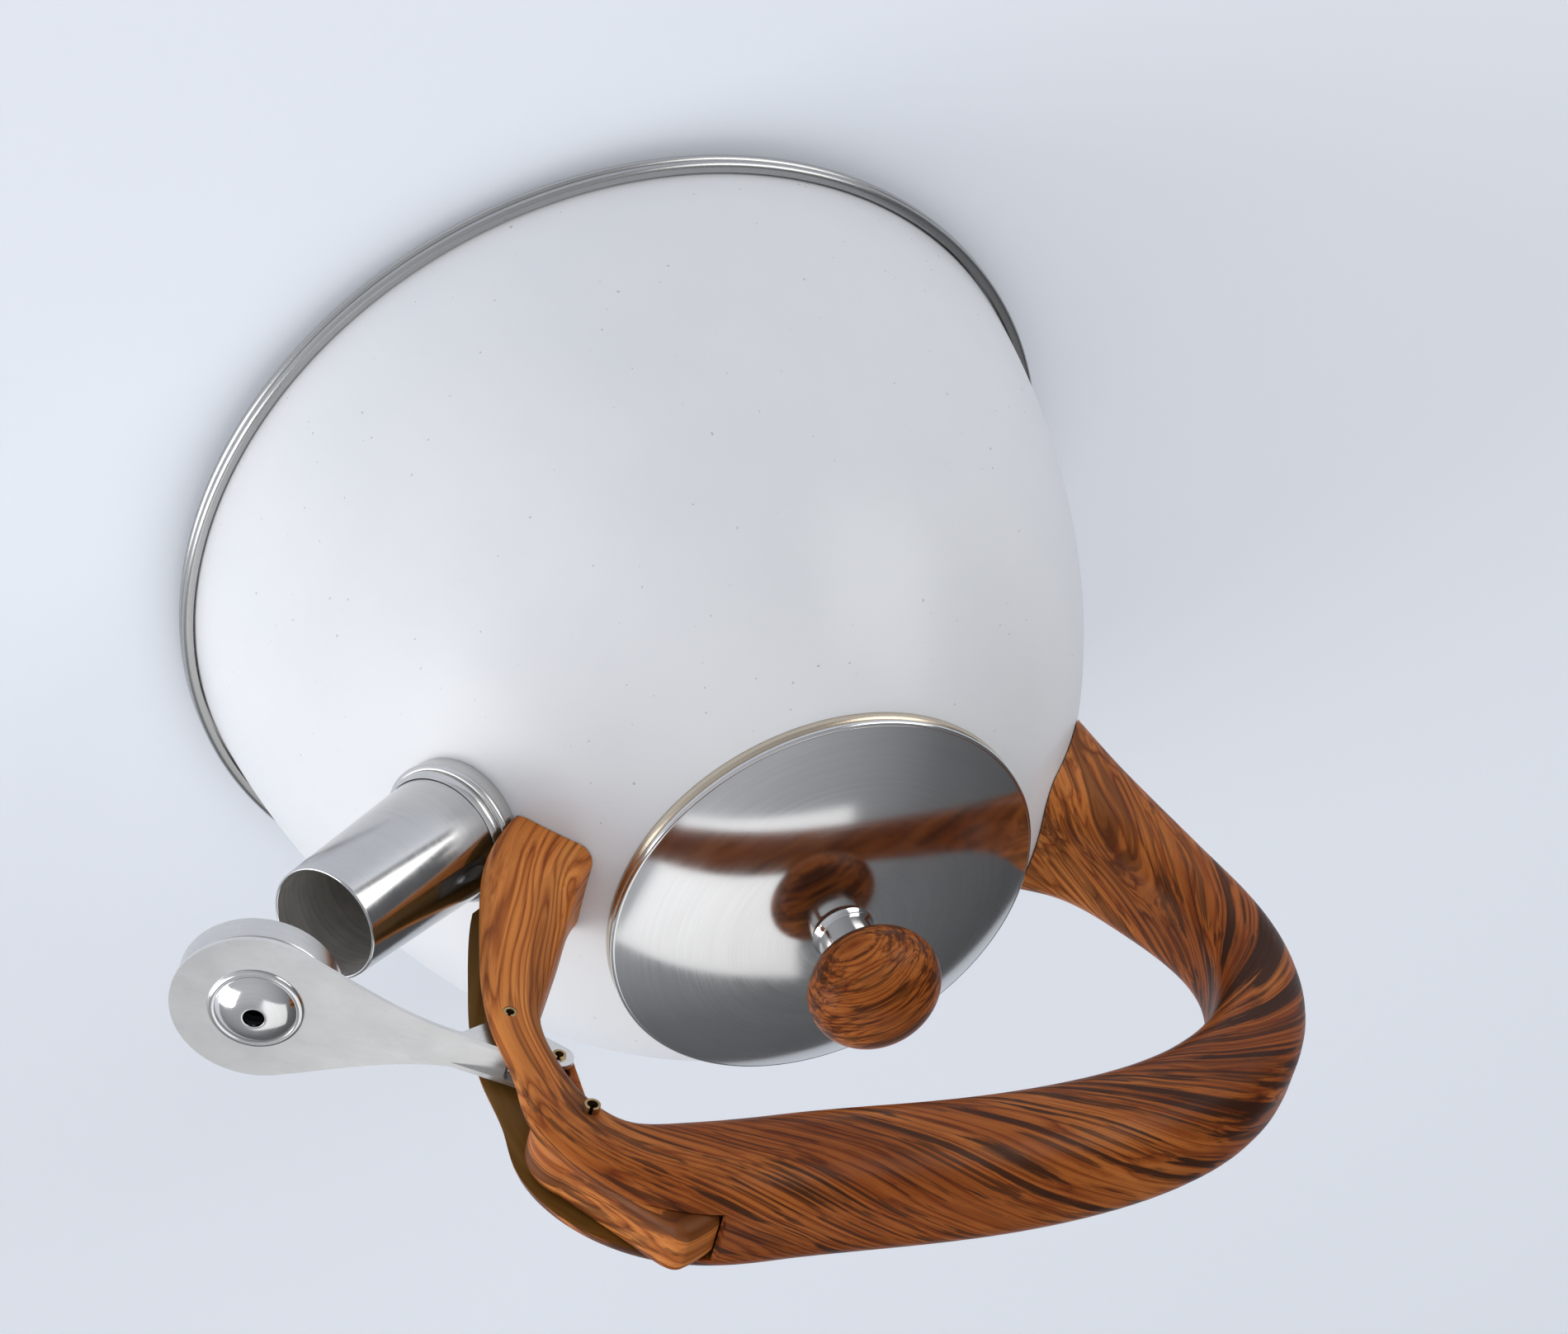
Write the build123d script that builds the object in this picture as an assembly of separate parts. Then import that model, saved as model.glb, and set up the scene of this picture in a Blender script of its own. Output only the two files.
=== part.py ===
from build123d import *
from collections import namedtuple
import math
import os

# A stovetop whistling kettle, in millimetres and degrees.
# +Z is up, +X points to the spout, and the origin is the centre of the base on the stove.
# The whistle stands open and the trigger is pushed forward.

# Clearances
FIT = 0.15            # between curved pieces that are fixed to each other
RUN = 0.3             # between pieces that move past each other
PIN_RUN = 0.08        # radial clearance of a pin that something turns on
PIN_GRIP = 0.02       # radial clearance of a pin or screw in the piece that holds it

# Base
DISC_R = 92.0
DISC_T = 5.0
DISC_EDGE = 2.0
FLOOR_T = 1.2
SEAM_BEAD = 1.2       # radius of each of the two beads of the seam ring
SEAM_LIP = 5.0        # how far the ring's lip reaches in under the floor
SEAM_LIP_T = 0.8

# Body, an elliptical dome
BODY_R = 108.5
BODY_RISE = 164.0     # vertical half axis of the ellipse
BODY_SINK = 13.2      # the ellipse's centre lies this far below the floor's top
WALL = 1.2

# Mouth
MOUTH_R = 48.0        # clear radius of the mouth ring
MOUTH_STEP = 1.0      # from the clear radius out to the wall's edge
MOUTH_RING_H = 2.4
MOUTH_RING_W = 3.0
MOUTH_SLEEVE = 5.0    # depth of the ring's sleeve inside the wall

# Spout
SPOUT_DROP = 29.8     # its root lies this far below the mouth's edge
SPOUT_TILT = 34.6
SPOUT_LENGTH = 49.4
SPOUT_ROOT_R = 15.0
SPOUT_MOUTH_R = 13.4
SPOUT_WALL = 0.8
SPOUT_INSIDE = 5.0    # length that stands inside the body
COLLAR_R = 16.5
COLLAR_STEP = 0.8     # the upper bead is this much smaller
COLLAR_LOW_H = 4.0
COLLAR_HIGH_H = 6.6

# Whistle lever and what it carries
LEVER_REACH = 50.0    # from the lever pin to the axis of the spout
HEAD_AHEAD = 2.5      # the head sits this far beyond the axis of the spout
PIVOT_AHEAD = 2.3     # the lever pin lies this far in front of the spout's mouth
OPEN_ANGLE = 30.0
PLATE_LIFT = 4.0      # from the lever pin's axis to the back of the plate
PLATE_T = 1.0
HEAD_R = 18.5
STRIP_W = 9.4
NECK_FLARE_ANGLE = 7.0
SHOULDER_ANGLE = 112.0
STRIP_LENGTH = 10.0   # straight part of the strip, from the lever pin
STRIP_BACK = 1.7      # the strip starts this far behind the lever pin
EAR_T = 1.2
EAR_R = 3.3
TAIL_BACK = 12.0      # the link pin lies this far behind the lever pin
TAIL_LIFT = 5.2       # and this far towards the plate
CAP_R = 17.6
CAP_T = 0.7
CAP_OVERLAP = 1.2     # the cap's wall reaches this far past the spout's mouth
CAP_GROOVE = 1.3      # neck between the cap and the plate
SEAT_GAP = 0.4        # between the whistle disc and the spout when shut
WHISTLE_DISC_T = 0.8
WHISTLE_HOLE_R = 2.3
DOME_R = 8.8
DOME_FLANGE = 1.6
DOME_H = 3.4
DOME_T = 0.7

# Pins and spring
LEVER_PIN_R = 1.5
TRIGGER_PIN_R = 1.75
LINK_PIN_R = 1.5
PIN_WALL = 0.6
PIN_STUB = 2.0        # the trigger pin stands this far out of the handle
SPRING_R = 2.4
SPRING_WIRE_R = 0.4
SPRING_PITCH = 1.25
SPRING_TURNS = 2
SPRING_LEG = 6.2
SPRING_IN_ANGLE = 180.0
SPRING_OUT_ANGLE = 196.0

# Trigger, in polar measures about its pin
HUB_BACK = 6.2        # the trigger pin lies this far behind the lever pin
HUB_UP = 32.8         # and this far above it
HUB_R = 3.6
NOSE_W = 7.2
NOSE_T = 5.6
SLOT_RUN = 0.65       # play of the link pin in the nose's slot, since the pin swings on an arc
TRIGGER_W = 12.4
PAD_R = 14.6
PAD_START_ANGLE = -25.0
PAD_END_ANGLE = 50.0
TIP_R = 35.2
TIP_ANGLE = 106.0
TIP_ROUND = 1.6
LIP_ANGLE = 123.6
TAIL_UNDER_ANGLE = 2.4      # the trigger's end lies this many degrees under the lip
TAIL_RUN_ANGLE = 3.0        # room behind that end when the whistle is shut

# Handle
HANDLE_GAP = 0.3      # between its feet and the body
CHANNEL_CLEAR = 0.3   # beside the trigger
GRIP_RISE = 91.2      # from the mouth's edge to the middle of the grip
FRONT_FOOT_DROP = 11.8
REAR_FOOT_DROP = 18.8
WINDOW_BELOW = 7.0    # the inner window starts this far below the lever pin
WINDOW_ABOVE = 1.0    # and ends this far below the trigger pin

# Brackets
TONGUE_W = 11.0
TONGUE_T = 3.0
FRONT_TONGUE = 19.0
REAR_TONGUE = 24.0
SCREW_R = 2.0
SCREW_HEAD_R = 3.8
SCREW_HEAD_H = 2.4
FRONT_SCREW_AT = 10.0
FRONT_SCREW_DEPTH = 6.0
REAR_SCREW_AT = 15.0
REAR_HEAD_LEVEL = 8.0  # from the middle of the tongue to the seat of the screw's head

# Lid
LID_SET_IN = 0.6      # the hem lies this far inside the edge of the mouth ring
LID_T = 0.8
LID_H = 12.0
LID_SEAT_R = 8.0      # flat seat of the knob neck
LID_GAP = 0.2         # between the lid's flange and the mouth ring
HEM_R = 0.8
SKIRT_CLEAR = 0.8     # between the skirt and the mouth ring
SKIRT_T = 0.8
SKIRT_H = 9.0
SKIRT_ROLL = 0.8
NUB_R = 1.8
NUB_OUT = 0.5
NUB_COUNT = 2
NUB_ANGLE = 30.0
NECK_H = 8.0
NECK_FOOT_R = 7.4
NECK_R = 6.5
KNOB_R = 15.4
KNOB_HALF = 11.6
KNOB_FLAT_R = 6.6
KNOB_CROWN_ANGLE = 88.0     # the curve ends here in a very small flat
KNOB_BORE = 12.0
KNOB_SCREW_R = 2.0
KNOB_HEAD_R = 3.8
KNOB_HEAD_H = 2.4
WASHER_R = 5.5
WASHER_T = 0.8

# Levels and points that follow from the sizes above
floor_top = DISC_T + FLOOR_T
body_centre_z = floor_top - BODY_SINK
edge_r = MOUTH_R + MOUTH_STEP
mouth_z = body_centre_z + (BODY_RISE - WALL) * math.sqrt(1 - (edge_r / (BODY_R - WALL)) ** 2)
ring_top = mouth_z + MOUTH_RING_H
grip_z = mouth_z + GRIP_RISE


def radius_at(z, grow=0.0):
    """Radius of the body's outer face, grown by a little, at a height."""
    level = (z - body_centre_z) / (BODY_RISE + grow)
    return (BODY_R + grow) * math.sqrt(1 - level ** 2)


def turned(point, heading, along, left=0.0):
    """A point of the handle plane moved along a heading and to its left."""
    c = math.cos(math.radians(heading))
    s = math.sin(math.radians(heading))
    return (point[0] + along * c - left * s, point[1] + along * s + left * c)


def side_plane(point, heading=0.0):
    """Plane of the handle with its first axis along a heading and its second to the left."""
    c = math.cos(math.radians(heading))
    s = math.sin(math.radians(heading))
    return Plane(origin=(point[0], 0, point[1]), x_dir=(c, 0, s), z_dir=(0, -1, 0))


def square_plane(point, heading):
    """Plane square to a heading, with its first axis across the handle."""
    c = math.cos(math.radians(heading))
    s = math.sin(math.radians(heading))
    return Plane(origin=(point[0], 0, point[1]), x_dir=(0, 1, 0), z_dir=(c, 0, s))


spout_root = (radius_at(mouth_z - SPOUT_DROP), mouth_z - SPOUT_DROP)
spout_mouth = turned(spout_root, SPOUT_TILT, SPOUT_LENGTH)
pivot = turned(spout_mouth, SPOUT_TILT, PIVOT_AHEAD, LEVER_REACH)
hub = (pivot[0] - HUB_BACK, pivot[1] + HUB_UP)
lever_heading = SPOUT_TILT - 90 + OPEN_ANGLE
plate_heading = lever_heading + 90
link = turned(pivot, lever_heading, -TAIL_BACK, TAIL_LIFT)
link_shut = turned(pivot, lever_heading - OPEN_ANGLE, -TAIL_BACK, TAIL_LIFT)
nose_heading = math.degrees(math.atan2(link[1] - hub[1], link[0] - hub[0]))
trigger_turn = math.degrees(math.atan2(link_shut[1] - hub[1], link_shut[0] - hub[0])) - nose_heading
front_foot = (radius_at(mouth_z - FRONT_FOOT_DROP), mouth_z - FRONT_FOOT_DROP)
rear_foot = (-radius_at(mouth_z - REAR_FOOT_DROP), mouth_z - REAR_FOOT_DROP)
channel_w = TRIGGER_W + 2 * CHANNEL_CLEAR
spout_frame = square_plane(spout_root, SPOUT_TILT)
head_reach = LEVER_REACH + HEAD_AHEAD
head_frame = square_plane(turned(pivot, lever_heading, head_reach), plate_heading)


def disc_up(radius, height):
    """Cylinder that stands on its plane."""
    return Cylinder(radius, height, align=(Align.CENTER, Align.CENTER, Align.MIN))


def spun(edges):
    """Solid of revolution about Z of a closed outline drawn in the XZ plane."""
    return revolve(Plane.XZ * make_face(edges), Axis.Z)


def body_block(grow):
    """The body as a full solid, grown by a little, for fitting other pieces to it."""
    a = BODY_R + grow
    b = BODY_RISE + grow
    foot = math.degrees(math.asin(BODY_SINK / b))
    arc = EllipticalCenterArc((0, body_centre_z), a, b, foot, arc_size=90 - foot)
    outline = [arc, Line(arc @ 1, (0, floor_top)), Line((0, floor_top), arc @ 0)]
    return Rot(0, 0, 90) * spun(outline)


def dome_arc(shrink):
    """Elliptical profile of the wall from the floor to the mouth's edge."""
    b = BODY_RISE - shrink
    foot = math.degrees(math.asin(BODY_SINK / b))
    top = math.degrees(math.asin((mouth_z - body_centre_z) / b))
    return EllipticalCenterArc((0, body_centre_z), BODY_R - shrink, b, foot, arc_size=top - foot)


def body_shell():
    outer = dome_arc(0.0)
    inner = dome_arc(WALL)
    shell = spun([outer, Line(outer @ 1, inner @ 1), inner, Line(inner @ 0, outer @ 0)])
    return shell - spout_frame * Cylinder(SPOUT_ROOT_R + FIT, 4 * SPOUT_INSIDE)


def heat_disc():
    disc = disc_up(DISC_R, DISC_T)
    return fillet(disc.edges().group_by(Axis.Z)[0], DISC_EDGE)


def base_plate():
    return Pos(0, 0, DISC_T) * disc_up(radius_at(floor_top), FLOOR_T)


def base_seam_ring():
    """Two beads round the joint of body and floor, with a lip under the floor."""
    inner = BODY_R + FIT
    low = DISC_T - SEAM_LIP_T
    lip_r = BODY_R - SEAM_LIP
    crest = inner + SEAM_BEAD
    waist = low + 2 * SEAM_BEAD
    top = low + 4 * SEAM_BEAD
    outline = [
        Line((lip_r, low), (crest, low)),
        ThreePointArc((crest, low), (crest + SEAM_BEAD, low + SEAM_BEAD), (crest, waist)),
        ThreePointArc((crest, waist), (crest + SEAM_BEAD, waist + SEAM_BEAD), (crest, top)),
        Line((crest, top), (inner, top)),
        Line((inner, top), (inner, DISC_T)),
        Line((inner, DISC_T), (lip_r, DISC_T)),
        Line((lip_r, DISC_T), (lip_r, low)),
    ]
    return spun(outline)


def mouth_ring():
    """Rounded trim on the wall's edge, with a sleeve down inside the wall."""
    outer = MOUTH_R + MOUTH_RING_W
    sleeve_r = edge_r - FIT
    outline = [
        Line((MOUTH_R, mouth_z - MOUTH_SLEEVE), (MOUTH_R, mouth_z + MOUTH_RING_H / 2)),
        ThreePointArc((MOUTH_R, mouth_z + MOUTH_RING_H / 2),
                      (MOUTH_R + MOUTH_RING_W / 2, ring_top),
                      (outer, mouth_z + MOUTH_RING_H / 2)),
        Line((outer, mouth_z + MOUTH_RING_H / 2), (outer, mouth_z)),
        Line((outer, mouth_z), (sleeve_r, mouth_z)),
        Line((sleeve_r, mouth_z), (sleeve_r, mouth_z - MOUTH_SLEEVE)),
        Line((sleeve_r, mouth_z - MOUTH_SLEEVE), (MOUTH_R, mouth_z - MOUTH_SLEEVE)),
    ]
    return spun(outline)


def spout_tube():
    outline = [
        Polyline(
            (SPOUT_ROOT_R, -SPOUT_INSIDE),
            (SPOUT_ROOT_R, COLLAR_HIGH_H),
            (SPOUT_MOUTH_R, SPOUT_LENGTH),
            (SPOUT_MOUTH_R - SPOUT_WALL, SPOUT_LENGTH),
            (SPOUT_ROOT_R - SPOUT_WALL, COLLAR_HIGH_H),
            (SPOUT_ROOT_R - SPOUT_WALL, -SPOUT_INSIDE),
            close=True,
        )
    ]
    return spout_frame * spun(outline)


def spout_collar():
    """Two rounded steps round the root of the spout, fitted to the body."""
    bore = SPOUT_ROOT_R + FIT
    upper = COLLAR_R - COLLAR_STEP
    low_bead = COLLAR_LOW_H / 4
    high_bead = (COLLAR_HIGH_H - COLLAR_LOW_H) / 2
    outline = [
        Line((bore, -SPOUT_INSIDE), (COLLAR_R, -SPOUT_INSIDE)),
        Line((COLLAR_R, -SPOUT_INSIDE), (COLLAR_R, COLLAR_LOW_H - 2 * low_bead)),
        ThreePointArc((COLLAR_R, COLLAR_LOW_H - 2 * low_bead),
                      (COLLAR_R + low_bead / 2, COLLAR_LOW_H - low_bead),
                      (upper, COLLAR_LOW_H)),
        ThreePointArc((upper, COLLAR_LOW_H),
                      (upper + high_bead / 4, COLLAR_LOW_H + high_bead),
                      (bore, COLLAR_HIGH_H)),
        Line((bore, COLLAR_HIGH_H), (bore, -SPOUT_INSIDE)),
    ]
    return spout_frame * spun(outline) - body_block(FIT)


# Handle: rounded sections set square to the run of the arch, from the front foot to the rear foot
Section = namedtuple("Section", "at depth width corner web")
FRONT_FOOT_ANGLE = 44.0
REAR_FOOT_ANGLE = 304.0
HANDLE_SLICES = 36


def front_leg_sections():
    return [
        Section(turned(front_foot, FRONT_FOOT_ANGLE, -9), 22, 25, 4.0, 11),
        Section(turned(front_foot, FRONT_FOOT_ANGLE, 4), 22, 24, 4.5, 11),
        Section((front_foot[0] + 11.5, front_foot[1] + 17.5), 20.5, 22, 5.0, 9.5),
        Section((pivot[0] - 8.4, pivot[1] - 18), 16.5, 20.5, 4.5, 6),
        Section((pivot[0] - 1.1, pivot[1] + 2), 11.5, 19, 3.5, 3),
        Section((hub[0] + 5.2, hub[1] - 14), 12.5, 19, 4.0, 3),
        Section((hub[0] + 4.2, hub[1] - 1.5), 17.5, 21, 5.5, 2),
    ]


def grip_sections():
    return [
        Section((hub[0] - 2.2, hub[1] + 9.6), 21, 23.5, 7.5, 3),
        Section((hub[0] - 16.5, hub[1] + 16.2), 26.5, 26, 9.5, 8),
        Section((44, grip_z - 0.2), 28, 27.5, 11, 0),
        Section((8, grip_z + 0.6), 28, 28, 11.5, 0),
        Section((-30, grip_z - 2), 27, 28, 11.5, 0),
        Section((rear_foot[0] + 7.5, grip_z - 11.5), 25, 27, 10.5, 0),
    ]


def rear_leg_sections():
    return [
        Section((rear_foot[0] - 15, grip_z - 31), 21, 25, 8.5, 0),
        Section((rear_foot[0] - 21.5, rear_foot[1] + 52), 18.5, 24.5, 7.0, 0),
        Section((rear_foot[0] - 15, rear_foot[1] + 29), 20, 26.5, 7.0, 0),
        Section(turned(rear_foot, REAR_FOOT_ANGLE, -10), 26, 30.5, 7.5, 0),
        Section(turned(rear_foot, REAR_FOOT_ANGLE, 3), 34, 35, 8.0, 0),
        Section(turned(rear_foot, REAR_FOOT_ANGLE, 16), 42, 39, 8.5, 0),
    ]


front_sections = front_leg_sections()
arch_sections = front_sections + grip_sections() + rear_leg_sections()
arch_points = [Vector(s.at[0], 0, s.at[1]) for s in arch_sections]
arch_path = Spline(*arch_points)
arch_marks = [0.0] + [arch_path.param_at_point(p) for p in arch_points[1:-1]] + [1.0]


def arch_heading(mark):
    lean = arch_path % mark
    return math.degrees(math.atan2(lean.Z, lean.X))


def eased(values, mark):
    """Value at a place along the arch on a smooth curve through the sections' values."""
    last = len(arch_marks) - 1
    k = max(i for i in range(last) if arch_marks[i] <= mark)
    span = arch_marks[k + 1] - arch_marks[k]
    t = (mark - arch_marks[k]) / span

    def rise(i):
        low = max(i - 1, 0)
        high = min(i + 1, last)
        return span * (values[high] - values[low]) / (arch_marks[high] - arch_marks[low])

    start = (1 + 2 * t) * (1 - t) ** 2 * values[k] + t * (1 - t) ** 2 * rise(k)
    return start + t ** 2 * (3 - 2 * t) * values[k + 1] + t ** 2 * (t - 1) * rise(k + 1)


def handle_arch():
    """The whole arch as one solid through evenly spaced slices."""
    faces = []
    for k in range(HANDLE_SLICES + 1):
        mark = k / HANDLE_SLICES
        at = arch_path @ mark
        width = eased([s.width for s in arch_sections], mark)
        depth = eased([s.depth for s in arch_sections], mark)
        corner = eased([s.corner for s in arch_sections], mark)
        frame = square_plane((at.X, at.Z), arch_heading(mark))
        faces.append(frame * RectangleRounded(width, depth, corner))
    return loft(faces)


def polar(angle, radius):
    """A point of the handle plane given by its angle and distance from the trigger pin."""
    return turned(hub, angle, radius)


def polar_arc(radius, start, end):
    """Arc about the trigger pin."""
    return ThreePointArc(polar(start, radius), polar((start + end) / 2, radius), polar(end, radius))


def sector(radius, start, end):
    """Face of a slice of a disc about the trigger pin."""
    arc = polar_arc(radius, start, end)
    return make_face([Line(hub, arc @ 0), arc, Line(arc @ 1, hub)])


def channel_cut():
    """Space in the front leg for the lever and the trigger."""
    floor = []
    outside = []
    for section, mark in zip(arch_sections, arch_marks):
        if section.web and mark:
            heading = arch_heading(mark)
            floor.append(turned(section.at, heading, 0, section.depth / 2 - section.web))
            outside.append(turned(section.at, heading, 0, -section.depth))
    leg = make_face(Polyline(*floor, *reversed(outside), close=True))
    bay = sector(TIP_R + SPOUT_LENGTH, PAD_START_ANGLE - 40, LIP_ANGLE)
    pocket_end = LIP_ANGLE + TAIL_UNDER_ANGLE + trigger_turn + TAIL_RUN_ANGLE
    pocket = sector(TIP_R + RUN, LIP_ANGLE - 30, pocket_end)
    hub_room = Pos(*hub) * Circle(HUB_R + RUN)
    low = pivot[1] - WINDOW_BELOW
    high = hub[1] - WINDOW_ABOVE
    window = Pos(pivot[0] - HUB_BACK, (low + high) / 2) * Rectangle(6 * HUB_R, high - low)
    room = Plane.XZ * (leg + bay + pocket + hub_room + window)
    return extrude(room, amount=channel_w / 2, both=True)


def pin_hole(point, radius, length):
    return side_plane(point) * Cylinder(radius, length)


front_tongue_heading = arch_heading(arch_marks[1]) + 4
front_tongue_foot = turned(front_foot, FRONT_FOOT_ANGLE, -2,
                           front_sections[1].depth / 2 - front_sections[1].web - TONGUE_T / 2)
front_screw_at = turned(front_tongue_foot, front_tongue_heading, FRONT_SCREW_AT)
rear_tongue_heading = REAR_FOOT_ANGLE - 180
rear_screw_at = turned(rear_foot, rear_tongue_heading, REAR_SCREW_AT)


def handle():
    arch = handle_arch() - body_block(HANDLE_GAP)
    arch -= channel_cut()
    arch -= spout_frame * Cylinder(COLLAR_R + COLLAR_STEP + RUN, 4 * COLLAR_R)
    arch -= pin_hole(pivot, LEVER_PIN_R + PIN_GRIP, 4 * TRIGGER_W)
    arch -= pin_hole(hub, TRIGGER_PIN_R + PIN_GRIP, 4 * TRIGGER_W)
    arch -= front_tongue(FIT)
    arch -= rear_tongue(FIT)
    arch -= screw_hole(front_screw_at, front_tongue_heading + 90, FRONT_SCREW_DEPTH)
    arch -= rear_screw_hole()
    return arch


def tongue(foot, heading, length, grow):
    """Flat steel tongue standing on the body, its length along a heading."""
    block = Box(TONGUE_W + 2 * grow, TONGUE_T + 2 * grow, 2 * (length + grow))
    return square_plane(foot, heading) * block - body_block(FIT)


def front_tongue(grow):
    return tongue(front_tongue_foot, front_tongue_heading, FRONT_TONGUE, grow)


def rear_tongue(grow):
    return tongue(rear_foot, rear_tongue_heading, REAR_TONGUE, grow)


def screw_hole(point, heading, depth):
    """Hole for a screw's shank, from the middle of a tongue along a heading."""
    hole = disc_up(SCREW_R + PIN_GRIP, depth + TONGUE_T)
    return square_plane(turned(point, heading, -TONGUE_T), heading) * hole


def tongue_hole(point, heading):
    """Hole across a tongue."""
    return square_plane(point, heading) * Cylinder(SCREW_R + PIN_RUN, 3 * TONGUE_T)


def front_bracket():
    return front_tongue(0.0) - tongue_hole(front_screw_at, front_tongue_heading + 90)


def screw(length):
    """Pan-head screw along Z, with its head on top of the origin."""
    shank = Cylinder(SCREW_R, length, align=(Align.CENTER, Align.CENTER, Align.MAX))
    head = disc_up(SCREW_HEAD_R, SCREW_HEAD_H)
    head = chamfer(head.edges().group_by(Axis.Z)[-1], SCREW_HEAD_H / 3)
    return shank + head


def front_bracket_screw():
    seat = turned(front_screw_at, front_tongue_heading + 90, -TONGUE_T / 2)
    return square_plane(seat, front_tongue_heading - 90) * screw(TONGUE_T + FRONT_SCREW_DEPTH - 2)


def rear_screw_hole():
    """Counterbored hole from the back of the rear leg through to the tongue."""
    heading = rear_tongue_heading + 90
    deep = disc_up(SCREW_R + PIN_GRIP, REAR_HEAD_LEVEL + TONGUE_T)
    sink = disc_up(SCREW_HEAD_R + RUN, 4 * SCREW_HEAD_R)
    frame = square_plane(rear_screw_at, heading)
    return frame * deep + frame * Pos(0, 0, REAR_HEAD_LEVEL) * sink


def rear_bracket():
    return rear_tongue(0.0) - tongue_hole(rear_screw_at, rear_tongue_heading + 90)


def rear_bracket_screw():
    seat = turned(rear_screw_at, rear_tongue_heading + 90, REAR_HEAD_LEVEL)
    return square_plane(seat, rear_tongue_heading + 90) * screw(REAR_HEAD_LEVEL + TONGUE_T / 2)


def roll_pin(point, radius, low, high):
    """Hollow pin across the handle."""
    tube = Cylinder(radius, high - low) - Cylinder(radius - PIN_WALL, high - low)
    return Pos(point[0], (low + high) / 2, point[1]) * Rot(90, 0, 0) * tube


def lever_pin():
    half = front_sections[4].width / 2
    return roll_pin(pivot, LEVER_PIN_R, -half, half)


def trigger_pin():
    half = front_sections[6].width / 2
    return roll_pin(hub, TRIGGER_PIN_R, -half - PIN_STUB, half)


def link_pin():
    return roll_pin(link, LINK_PIN_R, -STRIP_W / 2 - PIN_WALL, STRIP_W / 2 + PIN_WALL)


def trigger():
    """Thumb piece whose round end runs in under the grip's lip, with a nose that reaches the link pin."""
    tail_angle = LIP_ANGLE + TAIL_UNDER_ANGLE
    pad = polar_arc(PAD_R, PAD_START_ANGLE, PAD_END_ANGLE)
    slide = polar_arc(TIP_R, TIP_ANGLE, tail_angle)
    ramp = Line(pad @ 1, slide @ 0)
    back = Polyline(slide @ 1, hub, pad @ 0)
    pad_face = make_face([pad, ramp, slide, back])
    body_face = pad_face + Pos(*hub) * Circle(HUB_R)
    body = extrude(Plane.XZ * body_face, amount=TRIGGER_W / 2, both=True)
    tip = polar(TIP_ANGLE, TIP_R)
    ridge = body.edges().filter_by(Axis.Y).sort_by_distance((tip[0], 0, tip[1]))[0]
    body = fillet(ridge, TIP_ROUND)
    reach = math.dist(hub, link)
    reach_shut = math.dist(hub, link_shut)
    nose_end = reach + NOSE_W / 2
    slot_low = min(reach, reach_shut) - RUN
    slot_high = max(reach, reach_shut) + RUN
    slot_w = 2 * (LINK_PIN_R + SLOT_RUN)
    nose = Pos((nose_end - NOSE_W / 2) / 2, 0) * SlotOverall(nose_end + NOSE_W / 2, NOSE_W)
    slot = Pos((slot_low + slot_high) / 2, 0) * SlotOverall(slot_high - slot_low + slot_w, slot_w)
    nose_frame = side_plane(hub, nose_heading)
    body += extrude(nose_frame * nose, amount=NOSE_T / 2, both=True)
    body -= extrude(nose_frame * slot, amount=TRIGGER_W, both=True)
    return body - pin_hole(hub, TRIGGER_PIN_R + PIN_RUN, 2 * TRIGGER_W)


def lever_plate_face():
    """Round head drawn in by two curves to a narrow strip."""
    half = STRIP_W / 2
    c = math.cos(math.radians(SHOULDER_ANGLE))
    s = math.sin(math.radians(SHOULDER_ANGLE))
    flare = math.tan(math.radians(NECK_FLARE_ANGLE))
    head_x = head_reach + HEAD_R * c
    head_y = HEAD_R * s
    start = -STRIP_BACK
    upper = Spline((STRIP_LENGTH, half), (head_x, head_y), tangents=((1, flare), (s, -c)))
    lower = Spline((STRIP_LENGTH, -half), (head_x, -head_y), tangents=((1, -flare), (s, c)))
    head = ThreePointArc((head_x, head_y), (head_reach + HEAD_R, 0), (head_x, -head_y))
    strip = Polyline((STRIP_LENGTH, half), (start, half), (start, -half), (STRIP_LENGTH, -half))
    return make_face([upper, head, lower, strip])


def whistle_lever():
    """Pressed plate with two folded ears that hold the lever pin and the link pin."""
    plate_frame = Plane(origin=head_frame.origin, x_dir=side_plane(pivot, lever_heading).x_dir,
                        z_dir=head_frame.z_dir)
    face = Pos(-head_reach, 0) * lever_plate_face() - Circle(WHISTLE_HOLE_R * 2)
    plate = plate_frame * Pos(0, 0, PLATE_LIFT) * extrude(face, amount=PLATE_T)
    top = PLATE_LIFT + PLATE_T
    outline = Sketch() + make_hull([
        *Circle(EAR_R).edges(),
        *(Pos(-TAIL_BACK, TAIL_LIFT) * Circle(EAR_R)).edges(),
        Line((-EAR_R, top), (STRIP_LENGTH, top)),
    ])
    ear_face = side_plane(pivot, lever_heading) * outline
    inner = STRIP_W / 2 - EAR_T
    ears = extrude(ear_face, amount=STRIP_W / 2, both=True) - extrude(ear_face, amount=inner, both=True)
    lever = plate + ears
    lever -= pin_hole(pivot, LEVER_PIN_R + PIN_RUN, 4 * STRIP_W)
    return lever - pin_hole(link, LINK_PIN_R + PIN_GRIP, 4 * STRIP_W)


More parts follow.
